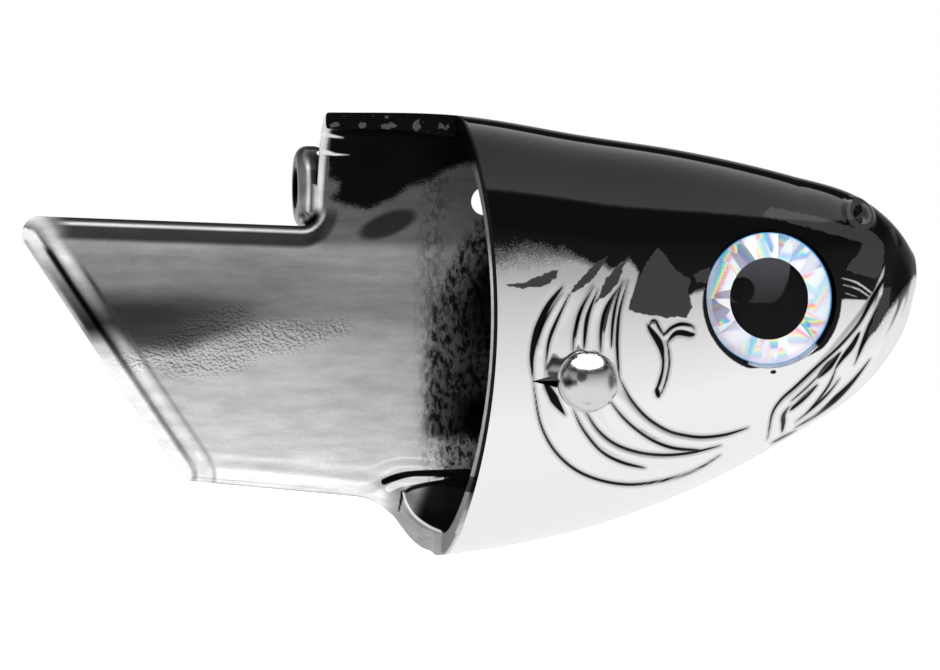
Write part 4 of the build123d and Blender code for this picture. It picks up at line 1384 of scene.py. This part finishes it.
# Painted highlights and dark lines along the tail's rim, bead, inner line and foot: heights, and the tone at each.
TAIL_RIM_TONE = (-22, -8.5, -6.5, -5, -1.5, 1.5, 3.5), (1.0, 0.98, 0.75, 0.14, 0.4, 0.8, 1.0)
TAIL_BEAD_TONE = (-22, -8.5, -6.5, -4.5, -1.5, 1.5, 3), (0.93, 0.9, 0.66, 0.22, 0.6, 0.95, 0.8)
TAIL_LINE_TONE = (-20, -9, -5, 2), (0.7, 0.6, 0.06, 0.08)
TAIL_FOOT_TONE = (-20, -9, -5, 2), (0.78, 0.62, 0.25, 0.3)
# Painted light on the ring lug by height, and a painted highlight at its edge: heights, and the tone at each.
LUG_TONE = (4, 5.5, 8, 10.5, 12), (0.75, 0.6, 0.5, 0.4, 0.14)
LUG_EDGE_TONE = (9.6, 11.0), (0.95, 0.22)
# Painted reflections on the gill rim, on its face and its outer edge: heights, and the tone at each.
RIM_TONE = (-22, -12, 0, 3, 9, 12), (0.5, 0.7, 0.85, 0.5, 0.4, 0.1)
RIM_OUTER_TONE = (-24, -21.5, -19), (0.85, 0.6, 0.12)
# Lower edge of the painted dark reflection at the tail: distances behind the snout, and the height at each.
CLOUD_EDGE = (56, 60, 64, 67, 72, 76), (-4.3, -4.7, -5.9, -7.0, -7.2, -7.4)
# Where the painted shade begins on the wall behind the gill rim: heights, and the distance behind the snout at each.
SHADE_START = (-20, -15.6, -15.2, -8, -3, 0, 3, 8), (43.6, 43.8, 44.9, 44.7, 44.2, 42.9, 41.3, 38.0)


def inside_of(outline, back, height):
    """Which places lie inside a closed outline."""
    inside = np.zeros(len(back), bool)
    for (ax, ay), (bx, by) in zip(outline, np.roll(outline, -1, 0)):
        crosses = (ay > height) != (by > height)
        at = ax + (height - ay) * (bx - ax) / (by - ay if by != ay else 1)
        inside ^= crosses & (back < at)
    return inside


def depth_in(outline, back, height):
    """How deep each place lies inside a closed outline, less than 0 outside it."""
    outline = np.asarray(outline, float)
    far = np.abs(near_line(np.vstack([outline, outline[:1]]), back, height)[0])
    return np.where(inside_of(outline, back, height), far, -far)


def store(mesh, **marks):
    """Stores values on a mesh's points."""
    for name, values in marks.items():
        layer = mesh.attributes.get(name) or mesh.attributes.new(name, "FLOAT", "POINT")
        layer.data.foreach_set("value", values.astype(np.float32))


def points_of(thing):
    """Distance behind the snout, sideways place and height of a mesh's points, in millimetres."""
    mesh = thing.data
    co = np.zeros(len(mesh.vertices) * 3, np.float32)
    mesh.vertices.foreach_get("co", co)
    co = co.reshape(-1, 3) / MM
    return -co[:, 0], co[:, 1], co[:, 2]


def paint_marks(thing, head):
    """Stores on each point how deep it lies in the lacquer, the fade there, the painted reflections in the lacquer,
    and the depth in grooves for their painted shade.
    """
    back, aside, height = points_of(thing)
    line, fades = np.array(PAINT_LINE)[:, :2], np.array(PAINT_LINE)[:, 2]
    start = path_length(line)
    far, along = near_line(line, back, height)
    signed, fade = np.abs(far), np.interp(along * start[-1], start, fades)
    signed[~inside_of(np.vstack([line, (-3.0, 40.0)]), back, height)] *= -1
    # a black ring is left round the eye, wider towards the snout, with a dark spot under it; its widening at the
    # lower rear is painted shadow of the socket's gap
    x, z = head.eye_back - back, height - head.eye_height
    angle = np.arctan2(z, x)
    ring = 6.48
    for wide, turned, low, high in ((0.42, 0.1, 0.35, 0.9), (0.16, 2.4, 0.6, 0.9), (-0.3, 1.3, 0.8, 0.95)):
        ring = ring + wide * ease(np.cos(angle + turned), low, high)
    extra = np.maximum(ring - np.hypot(x, z), 0.3 - np.hypot(x - 0.35, (z + 6.65) * 1.6))
    near_eye = extra > np.maximum(signed, -0.6)
    signed, fade = np.where(near_eye, extra, signed), np.where(near_eye, 0.15, fade)
    # painted reflections: grey patches in the lacquer where the softbox would reflect
    thin = np.full(len(back), -1.0)
    for outline in THIN_COATS:
        pick = boxed(np.array(outline), 0.6, back, height)
        thin[pick] = np.maximum(thin[pick], depth_in(outline, back[pick], height[pick]))
    pick = np.flatnonzero((back < 10) & (back > 4) & (height < 1) & (height > -3.5))
    for points, widths in RUBBED:
        far, along = near_line(curve(points), back[pick], height[pick])
        depth = half_width(along, widths) - np.abs(far)
        fade[pick] = np.where(depth > -0.2, 0.12, fade[pick])
        signed[pick] = np.minimum(signed[pick], -depth)
    # painted reflection on the nostril's raised ring
    thin = np.maximum(thin, 0.32 - np.abs(from_nostril(back, height) - 1.15))
    _, deep = head.relief(back, height)
    deep -= 1 - ease(np.abs(aside), 0.4, 1.6)
    store(thing.data, paint_edge=signed, paint_fade=fade, thin_coat=thin, groove=deep)


class Smoke:
    """Tone of the inside finish on a shell's points, mostly painted reflections and shade, and how mottled it is,
    while both are painted.
    """

    def __init__(self, thing, head, side):
        self.head, self.left = head, side > 0
        self.back, aside, self.height = points_of(thing)
        self.wide = np.abs(aside)
        self.skin = head.flank(self.back, self.height)
        self.grey = self.mottle = None

    def lay(self, tone, share):
        """Blends a tone over the inside's tones."""
        self.grey = self.grey * (1 - share) + tone * share

    def paint(self, tone, share):
        """Blends a plain tone over the inside's tones and mottling."""
        self.lay(tone, share)
        self.mottle = self.mottle * (1 - share)

    def paint_by_height(self, steps, share):
        self.paint(np.interp(self.height, *steps), share)

    def wall(self):
        """Wall: painted reflections by height, a dark cloud of painted reflection at the tail, grey in the collar,
        and painted shade with dark patches behind the gill rim.
        """
        back, height = self.back, self.height
        self.grey = np.interp(height, *WALL_TONE)
        edge = np.interp(back, *CLOUD_EDGE)
        cloud = ease(back, 53, 70) * ease(height, edge - 0.9, edge + 0.9) * (1 - ease(height, -3.6, -0.6))
        self.grey = self.grey * (1 - 0.62 * cloud)
        self.grey += 0.10 * ease(back, 60, 50) * bump((height - 0.3) / 4.5, 1)
        self.lay(0.43 - 0.015 * (height - 4), ease(height, 1.6, 3.4) * (1 - ease(back, 54.2, 55.2)))
        run, rise = (48.3 - back) * 0.93 + (height - 4.6) * 0.36, (height - 4.6) * 0.93 + (back - 48.3) * 0.36
        self.grey *= 1 - 0.55 * ease(1 - np.hypot(run / 2.9, rise / 1.15), -0.15, 0.3)
        start = np.interp(height, *SHADE_START)
        self.lay(np.minimum(self.grey, np.interp(height, *SHADE_TONE)), 1 - ease(back, start - 1.4, start + 0.5))
        self.lay(np.interp(height, *DEEP_TONE), 1 - ease(back, start - 5.0, start - 1.2))
        patches = 1 - ease(back, start - 0.8, start + 0.8)
        self.mottle = np.maximum(patches, 0.5 * bump((back - 44.0) / 2.0, 1)) * (height < 9)

    def overspray(self):
        """How deep each place lies in the black overspray at the top of the collar."""
        back, height = self.back, self.height
        over = -near_line(curve(OVERSPRAY_EDGE), back, height)[0]
        return np.where((height > 5) & (back > 20) & (back < 54.3), over, -2.0)

    def edges(self):
        """Painted highlights on the rims, painted dark lines along vane and collar, and painted shadow in the hollow
        in the keel.
        """
        back, height, paint, by_height = self.back, self.height, self.paint, self.paint_by_height
        collar, top, tail, low = rear_runs(self.head, 0.0)
        paths = np.vstack([collar, top[1:-ARC_STEPS]]), tail[ARC_STEPS:-ARC_STEPS], low
        far_top, far_tail, far_low = (np.abs(near_line(path, back, height)[0]) for path in paths)
        keel, root = height < -12, ease(back, 47.5, 49.5)
        paint(np.interp(back, (48, 52, 70), (0.9, 0.8, 0.75)), bump(far_low - 1.9, 0.7) * keel * ease(back, 46, 50))
        paint(1.0, (1 - ease(far_low, 1.2, 1.6)) * keel * root)
        paint(0.7, (1 - ease(far_low, 0.05, 0.2)) * keel * root)
        paint(0.64, (1 - ease(far_low, 2.6, 3.0)) * (1 - root) * (height < -19.5))
        inside = ease(depth_in(KEEL_HOLLOW, back, height), -0.1, 0.1) * (height < -19.3)
        paint(0.5, inside * 0.85)
        paint(0.03, inside * ease(45.4 - back - (height + 20.5) * 0.5, -0.7, 0.9) * 0.93)
        along_tail = (back > 58) & (height < self.head.vane_top + 1.0)
        by_height(TAIL_RIM_TONE, (1 - ease(far_tail, 1.3, 1.5)) * along_tail)
        by_height(TAIL_BEAD_TONE, bump(far_tail - 2.35, 0.95) * along_tail)
        paint(0.72, (1 - ease(far_tail, 0.1, 0.5)) * along_tail * ease(height, -7, -4))
        by_height(TAIL_LINE_TONE, bump(far_tail - 1.4, 0.4) * along_tail * (1 - ease(height, 1.8, 2.8)))
        by_height(TAIL_FOOT_TONE, bump(far_tail - 3.2, 0.3) * along_tail * (1 - ease(height, -1.0, 1.6)))
        behind = (back > 52) * (height > 0) * (1 - ease(back, 77.5, 79.5))
        over_vane = behind * (1 - ease(height, 5.2, 6.4))
        paint(0.24, (1 - ease(far_top, 1.7, 2.25)) * over_vane)
        paint(0.95, bump(far_top - 0.56, 0.25) * over_vane)
        paint(0.04, (1 - ease(far_top, 0.14, 0.24)) * over_vane)
        paint(0.9, (1 - ease(far_top, 0.4, 0.6)) * behind * ease(height, 5.2, 6.4))

    def strokes(self):
        """How deep each place lies in a painted shadow stroke, and in a painted highlight."""
        ink, gleam = np.full(len(self.back), -1.0), np.full(len(self.back), -1.0)
        for points, widths, tone in (*LEDGE_MARKS, *(COLLAR_MARKS if self.left else ())):
            line = curve(points)
            pick = boxed(line, 1, self.back, self.height)
            far, along = near_line(line, self.back[pick], self.height[pick])
            mark = ink if tone < 0.3 else gleam
            mark[pick] = np.maximum(mark[pick], half_width(along, widths) - np.abs(far))
        return ink, gleam

    def lug(self):
        """Finish of the ring lug: painted light by height, a painted highlight at its edge, and painted shade by the
        collar and black inside its hole.
        """
        head, back, height, wide = self.head, self.back, self.height, self.wide
        off = np.hypot(wide - head.guide_offset, height - head.guide_height)
        behind = back - head.collar_back
        outside = (back > head.collar_back - 2) & (wide > self.skin + 0.05)
        rear = (back > head.collar_back + 0.02) & (height > head.vane_top + 1.2) & (off < head.guide_radius + 0.1)
        lug = (outside | rear) & self.left
        self.paint_by_height(LUG_TONE, lug)
        self.paint_by_height(LUG_EDGE_TONE, lug * bump(behind - 0.72, 0.3))
        self.paint(0.02, lug * (1 - ease(behind, 0.42, 0.6)))
        self.paint(0.02, lug * (1 - ease(off, 2.2, 2.6)) * (behind > 1.1))
        hole = (off < head.guide_hole_radius + 0.1) & (back > head.collar_back - 2) & (wide > 7)
        self.paint(0.01, hole & self.left)
        end = (behind > -0.7) & (behind < np.interp(height, (6, 8.5), (0.9, 0.12))) & (wide > self.skin - 0.95)
        self.paint(0.03, end & (height > 5.8) & (height < 12.2) & self.left)

    def notch(self):
        """Nail notch: painted light and shade, grey above and black below."""
        head, back, off = self.head, self.back, self.height - self.head.pin_height
        notch = (np.abs(off) < head.notch_width / 2 + 0.1) & (back > head.pin_back + 0.5) & (back < 38.2)
        self.paint(np.where(self.height > head.pin_height + 0.1, 0.55, 0.04), notch & (self.wide > self.skin - 1.2))

    def socket(self):
        """Wall of the eye socket: a painted highlight where the black ring is open."""
        x, z = self.head.eye_back - self.back, self.height - self.head.eye_height
        far = np.hypot(x, z)
        open_ring = (far < 6.6) & (far > 6.2) & (np.cos(np.arctan2(z, x) + 1.3) > 0.85)
        self.paint(1.0, open_ring & (self.wide > self.skin - 1.6))

    def rim(self):
        """Gill rim of the right shell, with painted reflections."""
        outer = self.skin - self.wide < 0.3
        tone = np.where(outer, np.interp(self.height, *RIM_OUTER_TONE), np.interp(self.height, *RIM_TONE))
        self.paint(tone, ease(self.back - self.head.rim_back(self.height), -0.55, -0.4))


def smoke_marks(thing, head, side):
    """Stores on each point of a shell the tone of the inside with its painted reflections and shade, its mottling,
    orange peel, overspray and the painted strokes.
    """
    smoke = Smoke(thing, head, side)
    smoke.wall()
    smoke.edges()
    ink, gleam = smoke.strokes()
    smoke.lug()
    if not smoke.left:
        smoke.notch()
    smoke.socket()
    if not smoke.left:
        smoke.rim()
    peel = ease(depth_in(PEEL_PATCH, smoke.back, smoke.height), -0.8, 0.9) * (smoke.wide > 1) * smoke.left
    store(thing.data, smoke_tone=np.clip(smoke.grey, 0, 1) ** 2.2, smoke_mottle=smoke.mottle, peel=peel,
          overspray=smoke.overspray(), ink=ink, gleam=gleam)


class BAITHEAD_OT_right_shell(bpy.types.Operator):
    """Right cheek with its relief, the eye socket, the ball's seat, the nail notch and the pin's bore"""
    bl_idname = "baithead.right_shell"
    bl_label = "Right shell"

    def execute(self, context):
        head = Head()
        shell = right_shell_mesh(head, shell_finishes())
        carve(shell, boss_tool(head, -1), "UNION")
        carve(shell, socket_tool(head, -1))
        for tool in pin_tools(head):
            carve(shell, tool)
        finish_shell(shell, head, -1, "right_shell")
        return {"FINISHED"}


def shell_finishes():
    return [bpy.data.materials[name] for name in SHELL_FINISHES]


def finish_shell(shell, head, side, node):
    """Shades a shell, stores its paint marks, puts it on its body and hides the part it replaces."""
    smooth_shade(shell)
    paint_marks(shell, head)
    smoke_marks(shell, head, side)
    finish_piece(shell, "head", "chromed_shell", node)


def finish_piece(thing, body, slot, node):
    """Puts a piece on its body and hides the imported part it stands for."""
    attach(thing, body)
    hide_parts(node)


def finish_turned(thing, finish, body, slot, node):
    """Gives a turned piece one finish all over, shades it, puts it on its body and hides the part it stands for."""
    thing.data.materials.append(bpy.data.materials[finish])
    thing.data.polygons.foreach_set("material_index", [0] * len(thing.data.polygons))
    smooth_shade(thing)
    finish_piece(thing, body, slot, node)


def plug(name, radius, end, placement, around):
    """Round tool from the mid-plane out."""
    return lathe(name, ((0, 0), (radius, 0), (radius, end), (0, end)), placement, around)


def socket_tool(head, side):
    """Space of one eye socket."""
    radius = head.eye_radius + head.socket_gap
    return lathe("socket_tool", ((0, -head.pad_thickness), (radius, -head.pad_thickness), (radius, 8), (0, 8)),
                 head.eye_place(side), 160)


def pin_tools(head):
    """Ball seat, shank bore and nail notch of the right shell."""
    skin, centre, radius = head.pin_skin, head.ball_centre, head.ball_radius + head.seat_gap
    placement = sideways(head.pin_back, head.pin_height, -1)
    ball = [(0, centre - radius), *arc((0, centre), radius, -85, 85, 40), (0, centre + radius)]
    seat = lathe("seat_tool", ball, placement, 96)
    bore = plug("bore_tool", head.pin_radius + head.pin_clearance, 20, placement, 32)
    sheet = Sheet()
    tip, wide = -head.ball_radius - head.notch_length, head.notch_width / 2
    low, high = skin - head.notch_depth, skin + 1.5
    numbers = sheet.add([(tip, 0, high), (tip + 0.15, 0, skin - 0.05), (0, wide, low), (0, -wide, low),
                         (0, wide, high), (0, -wide, high)])
    for face in ((0, 1, 2, 4), (0, 5, 3, 1), (1, 3, 2), (0, 4, 5), (2, 3, 5, 4)):
        sheet.face([numbers[i] for i in face], INSIDE)
    notch = sheet.build("notch_tool")
    notch.data.transform(placement)
    return seat, bore, notch


class BAITHEAD_OT_left_shell(bpy.types.Operator):
    """Left cheek with the collar, the tail vane, the rig guide, the line hole and the keeper's boss"""
    bl_idname = "baithead.left_shell"
    bl_label = "Left shell"

    def execute(self, context):
        head = Head()
        shell = left_shell_mesh(head, shell_finishes())
        carve(shell, guide_tool(head), "UNION")
        carve(shell, boss_tool(head, 1), "UNION")
        keeper = sideways(head.pin_back, head.pin_height, 1)
        carve(shell, plug("keeper_tool", head.keeper_radius + 0.02, head.pin_skin - head.keeper_floor, keeper, 48))
        line = sideways(head.line_hole_back, head.line_hole_height, 1)
        carve(shell, plug("line_tool", head.line_hole_radius, 20, line, 64))
        carve(shell, socket_tool(head, 1))
        finish_shell(shell, head, 1, "left_shell")
        return {"FINISHED"}


def guide_tool(head):
    """Ring lug outside the left flank, its axis along the head."""
    outer, hole, thick = head.guide_radius, head.guide_hole_radius, head.guide_thickness
    edge, rim = 1.1, 0.3
    profile = np.vstack([
        arc((outer - edge, thick - edge), edge, 0, 90, 7), arc((hole + rim, thick - rim), rim, 90, 180, 6),
        arc((hole + rim, rim), rim, 180, 270, 6), arc((outer - edge, edge), edge, 270, 360, 7)])
    rear = head.collar_back + head.guide_overhang
    turn = Matrix(((0, 0, 1), (1, 0, 0), (0, 1, 0))).to_4x4()
    placement = Matrix.Translation(Vector((-rear, head.guide_offset, head.guide_height)) * MM) @ turn
    return lathe("guide_tool", profile, placement, 72, LUG, closed=True)


def boss_tool(head, side):
    """Round boss inside one flank, round the bait pin."""
    inner = head.pin_skin - head.wall
    start, end, radius = inner - head.boss_depth, inner + head.wall / 2, head.boss_radius
    profile = [(0, start), *arc((radius - 0.3, start + 0.3), 0.3, -90, 0, 5), (radius, end), (0, end)]
    return lathe("boss_tool", profile, sideways(head.pin_back, head.pin_height, side), 48)


class BAITHEAD_OT_bait_pin(bpy.types.Operator):
    """Steel ball and shank of the bait pin, and the keeper that holds it"""
    bl_idname = "baithead.bait_pin"
    bl_label = "Bait pin"

    def execute(self, context):
        head = Head()
        placement = sideways(head.pin_back, head.pin_height, -1)
        radius, centre = head.pin_radius, head.ball_centre
        top = centre - head.ball_radius + head.ball_socket_depth
        low = math.degrees(math.asin(radius / head.ball_radius))
        profile = [(0, top), (radius, top), *arc((0, centre), head.ball_radius, low - 90, 89, 60),
                   (0, centre + head.ball_radius)]
        ball = lathe("pin_ball_polished", profile, placement, 96)
        tip = head.tip_gap - (head.pin_skin - head.keeper_floor)
        point = tip + head.pin_point
        profile = [(0, tip), *arc((0, tip + 0.1), 0.1, -60, -15, 4), (radius - 0.02, point - 0.1),
                   (radius, point + 0.1), (radius, top - 0.05), (radius - 0.05, top), (0, top)]
        shank = lathe("pin_shank_polished", profile, placement, 40)
        for piece, node in ((ball, "pin_ball"), (shank, "pin_shank")):
            finish_turned(piece, "mirror_steel", "bait_pin", "polished_steel", node)
        repaint("pin_keeper", "black_silicone")
        return {"FINISHED"}


class BAITHEAD_OT_leader_tube(bpy.types.Operator):
    """Steel tube through the snout, with rolled lips"""
    bl_idname = "baithead.leader_tube"
    bl_label = "Leader tube"

    def execute(self, context):
        head = Head()
        outer, bore, end = head.tube_radius, head.tube_bore_radius, head.tube_length
        lip = (outer - bore) / 2
        middle = bore + lip
        profile = np.vstack([arc((middle, lip), lip, 360, 180, 12), arc((middle, end - lip), lip, 180, 0, 12)])
        turn = Matrix(((0, 0, -1), (0, 1, 0), (1, 0, 0))).to_4x4()
        tube = lathe("leader_tube_rolled", profile, turn, 48, closed=True)
        finish_turned(tube, "mirror_steel", "head", "polished_steel", "leader_tube")
        return {"FINISHED"}


class BAITHEAD_OT_eyes(bpy.types.Operator):
    """Holographic foils under clear resin domes, on adhesive pads"""
    bl_idname = "baithead.eyes"
    bl_label = "Eyes"

    def execute(self, context):
        head = Head()
        radius, foil_top = head.eye_radius, head.foil_thickness
        cap = (radius**2 + head.dome_rise**2) / (2 * head.dome_rise)
        top = foil_top + head.dome_edge
        crown = top + head.dome_rise
        span = math.degrees(math.asin((radius - 0.12) / cap))
        sink = foil_top - 0.02
        for side, name in ((-1, "right"), (1, "left")):
            flat = [(0, 0), (radius - 0.02, 0), (radius, 0.03), (radius, foil_top - 0.03), (radius - 0.03, foil_top),
                    (head.pupil_radius, foil_top), (0, foil_top)]
            foil = lathe(f"{name}_eye_foil_print", flat, around=128)
            dome_profile = [(0, sink), (radius - 0.06, sink), (radius, sink + 0.06), (radius, top - 0.08),
                            *arc((0, crown - cap), cap, 90 - span, 89.6, 40), (0, crown)]
            dome = lathe(f"{name}_eye_dome_resin", dome_profile, around=128)
            for piece, part, finish, slot in ((foil, "foil", "holographic_foil", "eye_foil"),
                                              (dome, "dome", "clear_resin", "eye_resin")):
                piece.matrix_world = head.eye_place(side)
                finish_turned(piece, finish, "head", slot, f"{name}_eye_{part}")
            repaint(f"{name}_eye_pad", "adhesive_foam")
        return {"FINISHED"}


def repaint(node, finish):
    """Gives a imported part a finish, on its object's own slots."""
    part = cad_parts[node]
    for slot in part.material_slots:
        slot.link = "OBJECT"
        slot.material = bpy.data.materials[finish]


class BAITHEAD_PT_panel(bpy.types.Panel):
    """Lists the bait head's operators, sizes and colours"""
    bl_label = "Bait head"
    bl_idname = "BAITHEAD_PT_panel"
    bl_space_type = "VIEW_3D"
    bl_region_type = "UI"
    bl_category = "Bait head"

    def draw(self, context):
        for step in OPERATORS:
            self.layout.operator(step.bl_idname)
        for group_name, _ in GROUPS:
            box = self.layout.box()
            settings = getattr(context.scene, group_name)
            for name in settings.bl_rna.properties.keys():
                if name not in ("rna_type", "name"):
                    box.prop(settings, name)


OPERATORS = (BAITHEAD_OT_stage, BAITHEAD_OT_finishes, BAITHEAD_OT_right_shell, BAITHEAD_OT_left_shell,
             BAITHEAD_OT_eyes, BAITHEAD_OT_bait_pin, BAITHEAD_OT_leader_tube)
GROUPS = (("bait_head_sizes", BaitHeadSizes), ("bait_head_colours", BaitHeadColours),
          ("bait_head_stage", BaitHeadStage))


def register():
    for name, kind in GROUPS:
        bpy.utils.register_class(kind)
        setattr(bpy.types.Scene, name, PointerProperty(type=kind))
    for kind in (*OPERATORS, BAITHEAD_PT_panel):
        bpy.utils.register_class(kind)


def unregister():
    for kind in (BAITHEAD_PT_panel, *reversed(OPERATORS)):
        bpy.utils.unregister_class(kind)
    for name, kind in reversed(GROUPS):
        delattr(bpy.types.Scene, name)
        bpy.utils.unregister_class(kind)


def main():
    """Makes everything, in order."""
    register()
    for step in OPERATORS:
        space, name = step.bl_idname.split(".")
        getattr(getattr(bpy.ops, space), name)()


if __name__ == "__main__":
    main()
